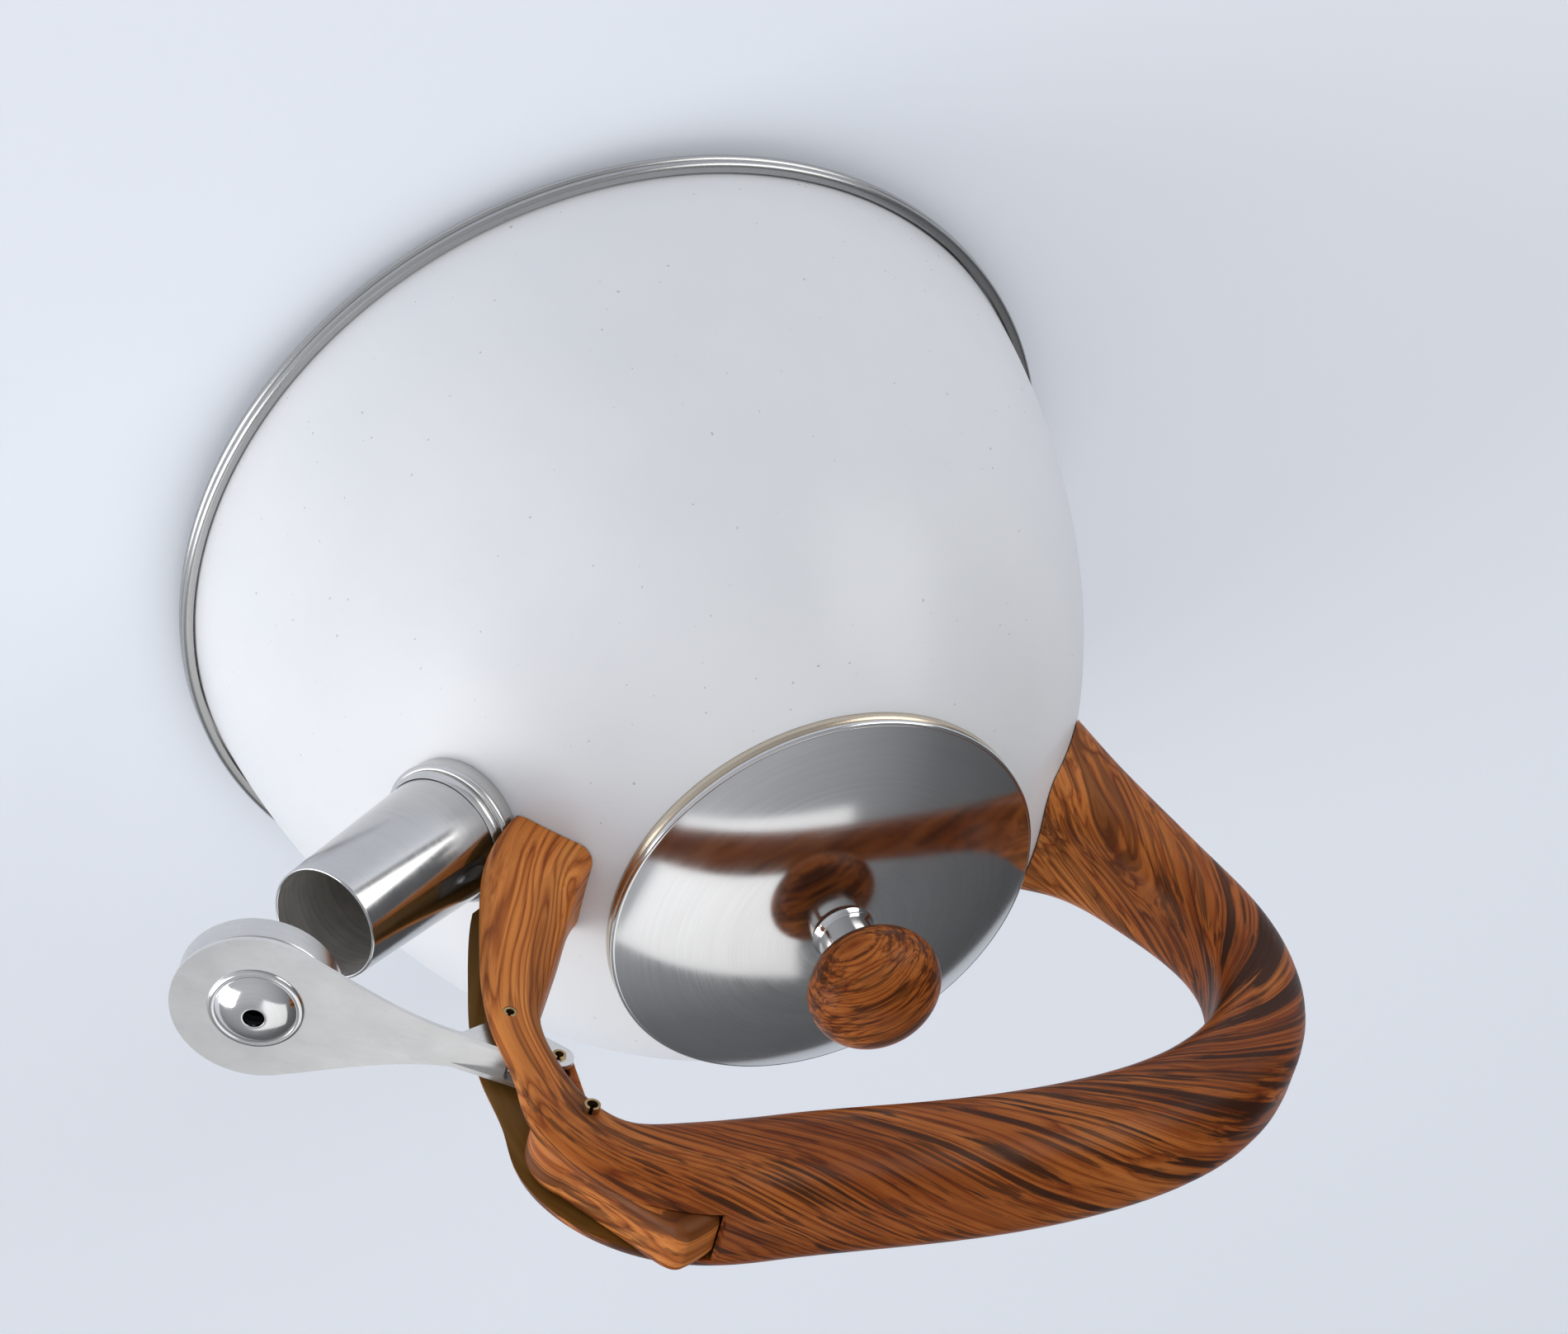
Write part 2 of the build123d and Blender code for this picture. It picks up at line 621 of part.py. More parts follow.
def whistle_cap():
    """Cup that closes over the spout, with a narrow neck against the plate."""
    rim = -PIVOT_AHEAD - CAP_OVERLAP
    roof = PLATE_LIFT - CAP_GROOVE
    neck = CAP_R - 2 * CAP_GROOVE
    outline = [
        Polyline(
            (WHISTLE_HOLE_R * 2, PLATE_LIFT),
            (neck, PLATE_LIFT),
            (neck, roof),
            (CAP_R - CAP_T, roof),
        ),
        ThreePointArc((CAP_R - CAP_T, roof), (CAP_R - CAP_T * 0.3, roof - CAP_T * 0.3),
                      (CAP_R, roof - CAP_T)),
        Polyline(
            (CAP_R, roof - CAP_T),
            (CAP_R, rim),
            (CAP_R - CAP_T, rim),
            (CAP_R - CAP_T, roof - CAP_T),
            (WHISTLE_HOLE_R * 2, roof - CAP_T),
            (WHISTLE_HOLE_R * 2, PLATE_LIFT),
        ),
    ]
    return head_frame * spun(outline)


def whistle_disc():
    """Inner disc, dished in the middle, held in the cap against its roof."""
    face = -PIVOT_AHEAD + SEAT_GAP
    roof = PLATE_LIFT - CAP_GROOVE - CAP_T
    outer = CAP_R - CAP_T - FIT
    rest_r = SPOUT_MOUTH_R + SPOUT_WALL
    outline = Polyline(
        (WHISTLE_HOLE_R, face),
        (outer, face),
        (outer, roof),
        (rest_r, roof),
        (rest_r, face + WHISTLE_DISC_T),
        (WHISTLE_HOLE_R, face + WHISTLE_DISC_T),
        close=True,
    )
    return head_frame * spun([outline])


def whistle_dome():
    """Pressed dome with a raised ring round its foot and a hole in the middle."""
    low = PLATE_LIFT + PLATE_T
    bead = DOME_FLANGE / 2
    outer_top = (WHISTLE_HOLE_R, low + DOME_H)
    inner_top = (WHISTLE_HOLE_R, low + DOME_H - DOME_T)
    outline = [
        Line((DOME_R - DOME_T, low), (DOME_R + DOME_FLANGE, low)),
        ThreePointArc((DOME_R + DOME_FLANGE, low), (DOME_R + bead, low + bead), (DOME_R, low + DOME_T)),
        ThreePointArc((DOME_R, low + DOME_T), (DOME_R * 0.66, low + DOME_H * 0.82), outer_top),
        Line(outer_top, inner_top),
        ThreePointArc(inner_top, (DOME_R * 0.66 - DOME_T * 0.5, low + DOME_H * 0.82 - DOME_T),
                      (DOME_R - DOME_T, low)),
    ]
    return head_frame * spun(outline)


def biarc(p0, t0, p1, t1):
    """Two arcs that join two points with the given directions."""
    chord = p1 - p0
    both = t0 + t1
    bend = 2 * (1 - t0.dot(t1))
    reach = (-chord.dot(both) + math.sqrt(chord.dot(both) ** 2 + bend * chord.dot(chord))) / bend
    middle = (p0 + p1 + (t0 - t1) * reach) * 0.5
    lean = (p1 - t1 * reach) - (p0 + t0 * reach)
    return [TangentArc(p0, middle, tangent=t0), TangentArc(middle, p1, tangent=lean.normalized())]


def least_gap(path):
    """Smallest space between places of the wire that lie more than half a turn apart."""
    count = 240
    places = [path @ (k / count) for k in range(count + 1)]
    apart = math.ceil(math.pi * SPRING_R / path.length * count)
    distances = [(places[j] - places[i]).length
                 for i in range(count) for j in range(i + apart, count + 1)]
    return min(distances) - 2 * SPRING_WIRE_R


def return_spring():
    """Torsion spring on the lever pin: close turns and two straight legs."""
    turn = SPRING_OUT_ANGLE - SPRING_IN_ANGLE + 360 * SPRING_TURNS
    steps = math.ceil(turn / 180)
    rise = SPRING_PITCH * turn / 360
    slope = SPRING_PITCH / (2 * math.pi * SPRING_R)

    def point(k):
        a = math.radians(SPRING_IN_ANGLE + turn * k / steps)
        return Vector(SPRING_R * math.cos(a), SPRING_R * math.sin(a), rise * (k / steps - 0.5))

    def direction(k):
        a = math.radians(SPRING_IN_ANGLE + turn * k / steps)
        return Vector(-math.sin(a), math.cos(a), slope).normalized()

    start = point(0) - direction(0) * SPRING_LEG
    end = point(steps) + direction(steps) * SPRING_LEG
    edges = [Line(start, point(0))]
    for k in range(steps):
        edges += biarc(point(k), direction(k), point(k + 1), direction(k + 1))
    edges.append(Line(point(steps), end))
    path = Wire(edges)
    section = Plane(origin=start, z_dir=direction(0)) * Circle(SPRING_WIRE_R)
    print(f"spring: least gap between turns {least_gap(path):.2f} mm")
    return side_plane(pivot, lever_heading) * sweep(section, path=path)


lid_r = MOUTH_R + MOUTH_RING_W - LID_SET_IN
skirt_r = MOUTH_R - SKIRT_CLEAR
lid_low = ring_top + LID_GAP + SKIRT_T
lid_seat = lid_low + LID_H
knob_low = lid_seat + NECK_H


def lid_dome():
    """Shallow polished dome with a rolled hem and a flat seat for the knob neck."""
    run = lid_r - LID_SEAT_R
    drop = LID_H - LID_T
    ball = (run ** 2 + drop ** 2) / (2 * drop)
    lean = math.asin(run / ball)
    half_run = ball * math.sin(lean / 2)
    half_drop = ball * (1 - math.cos(lean / 2))
    outline = [
        Line((KNOB_SCREW_R + PIN_RUN, lid_seat), (LID_SEAT_R, lid_seat)),
        ThreePointArc((LID_SEAT_R, lid_seat), (LID_SEAT_R + half_run, lid_seat - half_drop),
                      (lid_r, lid_seat - drop)),
        Line((lid_r, lid_seat - drop), (lid_r, lid_low)),
        Line((lid_r, lid_low), (lid_r - 2 * HEM_R, lid_low)),
        ThreePointArc((lid_r - 2 * HEM_R, lid_low), (LID_SEAT_R + half_run, lid_seat - half_drop - LID_T),
                      (LID_SEAT_R, lid_seat - LID_T)),
        Line((LID_SEAT_R, lid_seat - LID_T), (KNOB_SCREW_R + PIN_RUN, lid_seat - LID_T)),
        Line((KNOB_SCREW_R + PIN_RUN, lid_seat - LID_T), (KNOB_SCREW_R + PIN_RUN, lid_seat)),
    ]
    hem = revolve(Plane.XZ * Pos(lid_r, lid_low) * Circle(HEM_R), Axis.Z)
    return spun(outline) + hem


def lid_skirt():
    """Plug wall with an outward flange under the hem, a rolled lower edge and small nubs."""
    low = lid_low - SKIRT_H
    inner = skirt_r - SKIRT_T
    flange = lid_r - HEM_R - FIT
    outline = Polyline(
        (inner, lid_low),
        (flange, lid_low),
        (flange, lid_low - SKIRT_T),
        (skirt_r, lid_low - SKIRT_T),
        (skirt_r, low),
        (inner, low),
        close=True,
    )
    skirt = spun([outline])
    skirt += revolve(Plane.XZ * Pos(skirt_r - SKIRT_ROLL, low) * Circle(SKIRT_ROLL), Axis.Z)
    nub = Pos(skirt_r + NUB_OUT - NUB_R, 0, lid_low - SKIRT_H / 2) * Sphere(NUB_R)
    nub -= Cylinder(inner + SKIRT_T / 2, 4 * mouth_z)
    for k in range(NUB_COUNT):
        skirt += Rot(0, 0, NUB_ANGLE + 360 * k / NUB_COUNT) * nub
    return skirt


def knob_neck():
    """Bright collar with a foot that curves out onto the lid."""
    waist = NECK_H * 0.3
    bore = KNOB_SCREW_R + PIN_RUN
    curve_r = NECK_R + (NECK_FOOT_R - NECK_R) * 0.3
    flare = ThreePointArc((NECK_FOOT_R, lid_seat), (curve_r, lid_seat + waist * 0.4),
                          (NECK_R, lid_seat + waist))
    outline = [
        Polyline((bore, knob_low), (bore, lid_seat), (NECK_FOOT_R, lid_seat)),
        flare,
        Polyline((NECK_R, lid_seat + waist), (NECK_R, knob_low), (bore, knob_low)),
    ]
    return spun(outline)


def lid_knob():
    """Flattened ball with a flat foot and a blind hole for the screw."""
    foot = math.degrees(math.acos(KNOB_FLAT_R / KNOB_R))
    middle = knob_low + KNOB_HALF * math.sin(math.radians(foot))
    upper = EllipticalCenterArc((0, middle), KNOB_R, KNOB_HALF, 0, arc_size=KNOB_CROWN_ANGLE)
    lower = EllipticalCenterArc((0, middle), KNOB_R, KNOB_HALF, -foot, arc_size=foot)
    bore_r = KNOB_SCREW_R + PIN_GRIP
    bore_top = knob_low + KNOB_BORE
    crown = upper @ 1
    bore = Polyline(crown, (0, crown.Y), (0, bore_top), (bore_r, bore_top), (bore_r, knob_low), lower @ 0)
    return spun([upper, bore, lower])


def knob_washer():
    low = lid_seat - LID_T - WASHER_T
    ring = Cylinder(WASHER_R, WASHER_T) - Cylinder(KNOB_SCREW_R + PIN_RUN, WASHER_T)
    return Pos(0, 0, low + WASHER_T / 2) * ring


def knob_screw():
    low = lid_seat - LID_T - WASHER_T
    tip = knob_low + KNOB_BORE - 2
    head = Cylinder(KNOB_HEAD_R, KNOB_HEAD_H, align=(Align.CENTER, Align.CENTER, Align.MAX))
    head = chamfer(head.edges().group_by(Axis.Z)[0], KNOB_HEAD_H / 3)
    shank = disc_up(KNOB_SCREW_R, tip - low)
    return Pos(0, 0, low) * (head + shank)


PIECES = [
    heat_disc, base_plate, base_seam_ring, body_shell, mouth_ring, spout_tube, spout_collar,
    handle, front_bracket, front_bracket_screw, rear_bracket, rear_bracket_screw, lever_pin, trigger_pin,
    whistle_lever, whistle_cap, whistle_disc, whistle_dome, link_pin, return_spring, trigger,
    lid_dome, lid_skirt, lid_knob, knob_neck, knob_screw, knob_washer,
]

os.makedirs("parts", exist_ok=True)
for piece in PIECES:
    export_step(piece(), f"parts/{piece.__name__}.step")

print(f"lever pin at x {pivot[0]:.3f} z {pivot[1]:.3f}, trigger pin at x {hub[0]:.3f} z {hub[1]:.3f}")
print(f"trigger turns {trigger_turn:.3f} degrees while the whistle shuts by {OPEN_ANGLE} degrees")
print(f"mouth edge at z {mouth_z:.2f}, middle of the grip at z {grip_z:.2f}")
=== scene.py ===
"""Looks of the stovetop whistling kettle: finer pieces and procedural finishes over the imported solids.

Sizes are in millimetres and degrees, as in the part's source, and become metres when a mesh is made.
"""

import cmath
import math

import bmesh
import bpy
import numpy as np
from mathutils import Matrix, Vector


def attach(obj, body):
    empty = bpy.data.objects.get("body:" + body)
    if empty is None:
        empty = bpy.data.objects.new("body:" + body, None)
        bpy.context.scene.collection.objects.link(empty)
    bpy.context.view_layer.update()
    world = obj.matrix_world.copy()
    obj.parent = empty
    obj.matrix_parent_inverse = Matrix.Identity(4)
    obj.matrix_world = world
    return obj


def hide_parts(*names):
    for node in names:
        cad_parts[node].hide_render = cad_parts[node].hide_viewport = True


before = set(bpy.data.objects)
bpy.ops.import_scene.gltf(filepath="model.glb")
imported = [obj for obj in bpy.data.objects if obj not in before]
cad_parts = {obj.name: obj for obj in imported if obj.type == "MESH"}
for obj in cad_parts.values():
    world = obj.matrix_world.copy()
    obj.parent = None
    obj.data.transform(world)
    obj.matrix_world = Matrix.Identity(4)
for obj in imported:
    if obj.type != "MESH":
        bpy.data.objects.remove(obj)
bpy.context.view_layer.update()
MM = 0.001

# Clearances
FIT = 0.15
RUN = 0.3
PIN_RUN = 0.08
PIN_GRIP = 0.02

# Base and body
DISC_R = 92.0
DISC_T = 5.0
DISC_EDGE = 2.0
FLOOR_T = 1.2
SEAM_BEAD = 1.2
SEAM_LIP = 5.0
SEAM_LIP_T = 0.8
BODY_R = 108.5
BODY_RISE = 164.0
BODY_SINK = 13.2
WALL = 1.2

# Mouth and its trim ring
MOUTH_R = 48.0
MOUTH_STEP = 1.0
MOUTH_RING_H = 2.4
MOUTH_RING_W = 3.0
MOUTH_SLEEVE = 5.0
MOUTH_RING_EDGE = 0.3

# Spout and collar
SPOUT_DROP = 29.8
SPOUT_TILT = 34.6
SPOUT_LENGTH = 49.4
SPOUT_ROOT_R = 15.0
SPOUT_MOUTH_R = 13.4
SPOUT_WALL = 0.8
SPOUT_INSIDE = 5.0
COLLAR_R = 16.5
COLLAR_STEP = 0.8
COLLAR_LOW_H = 4.0
COLLAR_HIGH_H = 6.6

# Whistle
LEVER_REACH = 50.0
HEAD_AHEAD = 2.5
PIVOT_AHEAD = 2.3
OPEN_ANGLE = 30.0
PLATE_LIFT = 4.0
PLATE_T = 1.0
PLATE_EDGE = 0.22
HEAD_R = 18.5
STRIP_W = 9.4
NECK_FLARE_ANGLE = 7.0
SHOULDER_ANGLE = 112.0
STRIP_LENGTH = 10.0
STRIP_BACK = 1.7
EAR_T = 1.2
EAR_R = 3.3
TAIL_BACK = 12.0
TAIL_LIFT = 5.2
CAP_R = 17.6
CAP_T = 0.7
CAP_OVERLAP = 1.2
CAP_GROOVE = 1.3
CAP_EDGE = 0.2
SEAT_GAP = 0.4
WHISTLE_DISC_T = 0.8
WHISTLE_DISC_EDGE = 0.25
WHISTLE_HOLE_R = 2.3
DOME_R = 8.8
DOME_FLANGE = 1.6
DOME_H = 3.4
DOME_T = 0.7
DOME_EDGE = 0.15

# Pins and spring
LEVER_PIN_R = 1.5
TRIGGER_PIN_R = 1.75
LINK_PIN_R = 1.5
PIN_WALL = 0.6
PIN_STUB = 2.0
PIN_CHAMFER = 0.15
PIN_SLIT_ANGLE = 14.0
PIN_SLIT_TURN = 60.0
LEVER_PIN_HALF = 9.5
TRIGGER_PIN_HALF = 10.5
SPRING_R = 2.4
SPRING_WIRE_R = 0.4
SPRING_PITCH = 1.25
SPRING_TURNS = 2
SPRING_LEG = 6.2
SPRING_IN_ANGLE = 180.0
SPRING_OUT_ANGLE = 196.0

# Trigger
HUB_BACK = 6.2
HUB_UP = 32.8
HUB_R = 3.6
NOSE_W = 7.2
NOSE_T = 5.6
SLOT_RUN = 0.65
TRIGGER_W = 12.4
PAD_R = 11.2
PAD_START_ANGLE = -46.0
PAD_END_ANGLE = 50.0
TIP_R = 35.2
TIP_ANGLE = 106.0
LIP_ANGLE = 123.6
TAIL_UNDER_ANGLE = 2.4
TAIL_RUN_ANGLE = 3.0
CROWN = 3.0
CROWN_STEPS = 8
TRIGGER_CORNER_R = 4.0
TRIGGER_EDGE = 0.7
HUB_INSET = 0.3
POCKET_START_ANGLE = -65.0
POCKET_OVERLAP_ANGLE = 30.0

# Handle
HANDLE_GAP = 0.3
CHANNEL_CLEAR = 0.3
GRIP_RISE = 91.2
FRONT_FOOT_DROP = 11.8
REAR_FOOT_DROP = 18.8
FRONT_FOOT_ANGLE = 44.0
REAR_FOOT_ANGLE = 304.0
WINDOW_BELOW = 7.0
WINDOW_ABOVE = 1.0
SCREW_HEAD_R = 3.8
REAR_SCREW_AT = 15.0
REAR_HEAD_LEVEL = 8.0

# Lid and knob
LID_SET_IN = 0.6
LID_T = 0.8
LID_H = 12.0
LID_SEAT_R = 8.0
LID_GAP = 0.2
HEM_R = 0.8
SKIRT_CLEAR = 0.8
SKIRT_T = 0.8
SKIRT_H = 9.0
SKIRT_ROLL = 0.8
SKIRT_EDGE = 0.25
NUB_R = 1.8
NUB_OUT = 0.5
NUB_COUNT = 2
NUB_ANGLE = 30.0
NECK_H = 8.0
NECK_FOOT_R = 7.4
NECK_R = 6.5
NECK_EDGE = 0.3
KNOB_R = 15.4
KNOB_HALF = 11.6
KNOB_FLAT_R = 6.6
KNOB_SCREW_R = 2.0
KNOB_BORE = 12.0

# Levels and points that follow from the sizes above
floor_top = DISC_T + FLOOR_T
body_centre_z = floor_top - BODY_SINK
edge_r = MOUTH_R + MOUTH_STEP
mouth_z = body_centre_z + (BODY_RISE - WALL) * math.sqrt(1 - (edge_r / (BODY_R - WALL)) ** 2)
ring_top = mouth_z + MOUTH_RING_H
grip_z = mouth_z + GRIP_RISE
lid_r = MOUTH_R + MOUTH_RING_W - LID_SET_IN
skirt_r = MOUTH_R - SKIRT_CLEAR
lid_low = ring_top + LID_GAP + SKIRT_T
lid_seat = lid_low + LID_H
knob_low = lid_seat + NECK_H


def radius_at(z):
    """Radius of the body's outer face at a height."""
    return BODY_R * math.sqrt(1 - ((z - body_centre_z) / BODY_RISE) ** 2)


def cos_sin(angle):
    return math.cos(math.radians(angle)), math.sin(math.radians(angle))


def turned(point, heading, along, left=0.0):
    """A point of the handle plane moved along a heading and to its left."""
    c, s = cos_sin(heading)
    return (point[0] + along * c - left * s, point[1] + along * s + left * c)


def placed(rows, point):
    """Place with the given axes at a point of the handle plane."""
    place = Matrix(rows).to_4x4()
    place.translation = (point[0], 0, point[1])
    return place


def square_frame(point, heading):
    """Place whose z runs along a heading of the handle plane, with x across the handle."""
    c, s = cos_sin(heading)
    return placed(((0, -s, c), (1, 0, 0), (0, c, s)), point)


def side_frame(point, heading=0.0):
    """Place whose x runs along a heading of the handle plane, with y to its left and z across."""
    c, s = cos_sin(heading)
    return placed(((c, -s, 0), (0, 0, -1), (s, c, 0)), point)


spout_root = (radius_at(mouth_z - SPOUT_DROP), mouth_z - SPOUT_DROP)
spout_mouth = turned(spout_root, SPOUT_TILT, SPOUT_LENGTH)
pivot = turned(spout_mouth, SPOUT_TILT, PIVOT_AHEAD, LEVER_REACH)
hub = (pivot[0] - HUB_BACK, pivot[1] + HUB_UP)
lever_heading = SPOUT_TILT - 90 + OPEN_ANGLE
link = turned(pivot, lever_heading, -TAIL_BACK, TAIL_LIFT)
link_shut = turned(pivot, lever_heading - OPEN_ANGLE, -TAIL_BACK, TAIL_LIFT)
nose_heading = math.degrees(math.atan2(link[1] - hub[1], link[0] - hub[0]))
trigger_turn = math.degrees(math.atan2(link_shut[1] - hub[1], link_shut[0] - hub[0])) - nose_heading
front_foot = (radius_at(mouth_z - FRONT_FOOT_DROP), mouth_z - FRONT_FOOT_DROP)
rear_foot = (-radius_at(mouth_z - REAR_FOOT_DROP), mouth_z - REAR_FOOT_DROP)
tail_angle = LIP_ANGLE + TAIL_UNDER_ANGLE
channel_half = TRIGGER_W / 2 + CHANNEL_CLEAR
handle_plane = side_frame((0, 0))
spout_frame = square_frame(spout_root, SPOUT_TILT)
cap_roof = PLATE_LIFT - CAP_GROOVE
cap_ceiling = cap_roof - CAP_T
cap_bore = CAP_R - CAP_T
head_reach = LEVER_REACH + HEAD_AHEAD
head_frame = square_frame(turned(pivot, lever_heading, head_reach), lever_heading + 90)


# Mesh helpers


def add_piece(name, bm):
    """New object from a bmesh in millimetres, smooth except at its sharp corners."""
    bmesh.ops.recalc_face_normals(bm, faces=bm.faces)
    mesh = bpy.data.meshes.new(name)
    bm.to_mesh(mesh)
    bm.free()
    mesh.transform(Matrix.Scale(MM, 4))
    piece = bpy.data.objects.new(name, mesh)
    bpy.context.scene.collection.objects.link(piece)
    smooth(piece)
    return piece


def smooth(piece, angle=34.0):
    piece.data.shade_smooth()
    piece.data.set_sharp_from_angle(angle=math.radians(angle))


def arc(start, middle, end, steps=12):
    """Points of the arc through three points, both ends included."""
    a, b, c = (complex(*point) for point in (start, middle, end))
    ratio = (c - a) / (b - a)
    centre = a + (b - a) * (ratio - abs(ratio) ** 2) / (2j * ratio.imag)
    way = math.copysign(1, ratio.imag)
    sweep = way * (way * cmath.phase((c - centre) / (a - centre)) % (2 * math.pi))
    points = [centre + (a - centre) * cmath.exp(1j * sweep * k / steps) for k in range(steps + 1)]
    return [(point.real, point.imag) for point in points]


def ellipse(centre, a, b, start, end, steps=64):
    """Points of an upright ellipse between two of its angles."""
    angles = [math.radians(start + (end - start) * k / steps) for k in range(steps + 1)]
    return [(centre[0] + a * math.cos(t), centre[1] + b * math.sin(t)) for t in angles]


def circle(centre, radius, steps=48):
    return ellipse(centre, radius, radius, 0, 360 * (steps - 1) / steps, steps - 1)


def round_ended(start, end, radius):
    """Outline of a bar along x with round ends."""
    return ellipse((start, 0), radius, radius, 90, 270, 20) + ellipse((end, 0), radius, radius, -90, 90, 20)


def softened(outline, radius, steps=4):
    """A closed outline whose sharp corners are rounded by about a radius."""
    points = []
    corners = [Vector(point) for point in outline]
    shares = [i / steps for i in range(steps + 1)]
    for k, corner in enumerate(corners):
        back = corners[k - 1] - corner
        ahead = corners[(k + 1) % len(corners)] - corner
        if min(back.length, ahead.length) < 1e-6 or math.pi - back.angle(ahead) < math.radians(25):
            points.append(tuple(corner))
            continue
        p = corner + back * min(radius / back.length, 0.45)
        q = corner + ahead * min(radius / ahead.length, 0.45)
        points += [tuple(p * (1 - t) ** 2 + corner * 2 * t * (1 - t) + q * t ** 2) for t in shares]
    return points


def spin(name, profile, place=Matrix(), segments=160, closed=True):
    """Turned piece from (radius, height) points about a place's z axis.

    Its "lathe" attribute holds the distance along the profile and the direction round the axis.
    """
    bm = bmesh.new()
    lathe = bm.verts.layers.float_vector.new("lathe")
    rings = []
    run = 0.0
    for k, (radius, height) in enumerate(profile):
        run += math.dist(profile[k - 1], profile[k]) if k else 0.0
        ring = []
        for j in range(segments if radius > 1e-6 else 1):
            a = 2 * math.pi * j / segments
            vert = bm.verts.new(place @ Vector((radius * math.cos(a), radius * math.sin(a), height)))
            vert[lathe] = (run, math.cos(a), math.sin(a))
            ring.append(vert)
        rings.append(ring)
    pairs = list(zip(rings, rings[1:]))
    if closed:
        pairs.append((rings[-1], rings[0]))
    for low, high in pairs:
        for j in range(segments):
            i = (j + 1) % segments
            corners = (low[j % len(low)], low[i % len(low)], high[i % len(high)], high[j % len(high)])
            corners = list(dict.fromkeys(corners))
            if len(corners) > 2:
                bm.faces.new(corners)
    return add_piece(name, bm)


def skinned(name, rings, finish=0):
    """Solid with a skin over rings of points, closed at the first and the last."""
    bm = bmesh.new()
    rings = [[bm.verts.new(point) for point in ring] for ring in rings]
    for low, high in zip(rings, rings[1:]):
        for j in range(len(low)):
            bm.faces.new([low[j - 1], low[j], high[j], high[j - 1]])
    bm.faces.new(rings[0])
    bm.faces.new(rings[-1][::-1])
    for face in bm.faces:
        face.material_index = finish
    return add_piece(name, bm)


def prism(name, outline, place, low, high, finish=0):
    """Outline drawn in a place's xy plane, as a solid between two levels."""
    rings = [[place @ Vector((x, y, level)) for x, y in outline] for level in (low, high)]
    return skinned(name, rings, finish)


def tube(name, points, radius, sides=14):
    """Round wire along a line of points."""
    rings = []
    turns = [cos_sin(360 * j / sides) for j in range(sides)]
    normal = Vector((0, 0, 1))
    for k, point in enumerate(points):
        along = (points[min(k + 1, len(points) - 1)] - points[max(k - 1, 0)]).normalized()
        normal = (normal - along * normal.dot(along)).normalized()
        side = along.cross(normal)
        rings.append([point + (normal * c + side * s) * radius for c, s in turns])
    return skinned(name, rings)


def apply_steps(piece):
    """Keep the result of a piece's modifiers as its mesh."""
    view = bpy.context.evaluated_depsgraph_get()
    shaped = bpy.data.meshes.new_from_object(piece.evaluated_get(view))
    piece.modifiers.clear()
    piece.data = shaped


def combined(piece, tools, operation):
    """Cut tools out of a piece, or add them to it, and remove the tools."""
    for tool in tools:
        step = piece.modifiers.new("step", "BOOLEAN")
        step.operation = operation
        step.solver = "EXACT"
        step.object = tool
    apply_steps(piece)
    for tool in tools:
        bpy.data.objects.remove(tool)
    smooth(piece)


def bevelled(piece, width, segments=3, angle=40.0):
    """Small rounding on every edge sharper than an angle."""
    step = piece.modifiers.new("edges", "BEVEL")
    step.width = width * MM
    step.segments = segments
    step.limit_method = "ANGLE"
    step.angle_limit = math.radians(angle)
    step.use_clamp_overlap = True
    apply_steps(piece)
    smooth(piece, 50.0)
    flatten = piece.modifiers.new("normals", "WEIGHTED_NORMAL")
    flatten.keep_sharp = True
    apply_steps(piece)


def set_attribute(piece, name, values):
    """Vector value for every point of a piece."""
    layer = piece.data.attributes.new(name, "FLOAT_VECTOR", "POINT")
    layer.data.foreach_set("vector", np.asarray(values, np.float32).ravel())


def points_of(piece):
    """Points of a piece in millimetres."""
    co = np.zeros(len(piece.data.vertices) * 3, np.float32)
    piece.data.vertices.foreach_get("co", co)
    return co.reshape(-1, 3) / MM


def faces_about(piece, place):
    """Every face of a piece, with its reach along a place's z axis and its distance from that axis."""
    axis = Vector(place.col[2][:3])
    for face in piece.data.polygons:
        offset = face.center / MM - place.translation
        reach = offset.dot(axis)
        yield face, reach, (offset - axis * reach).length


# Material helpers


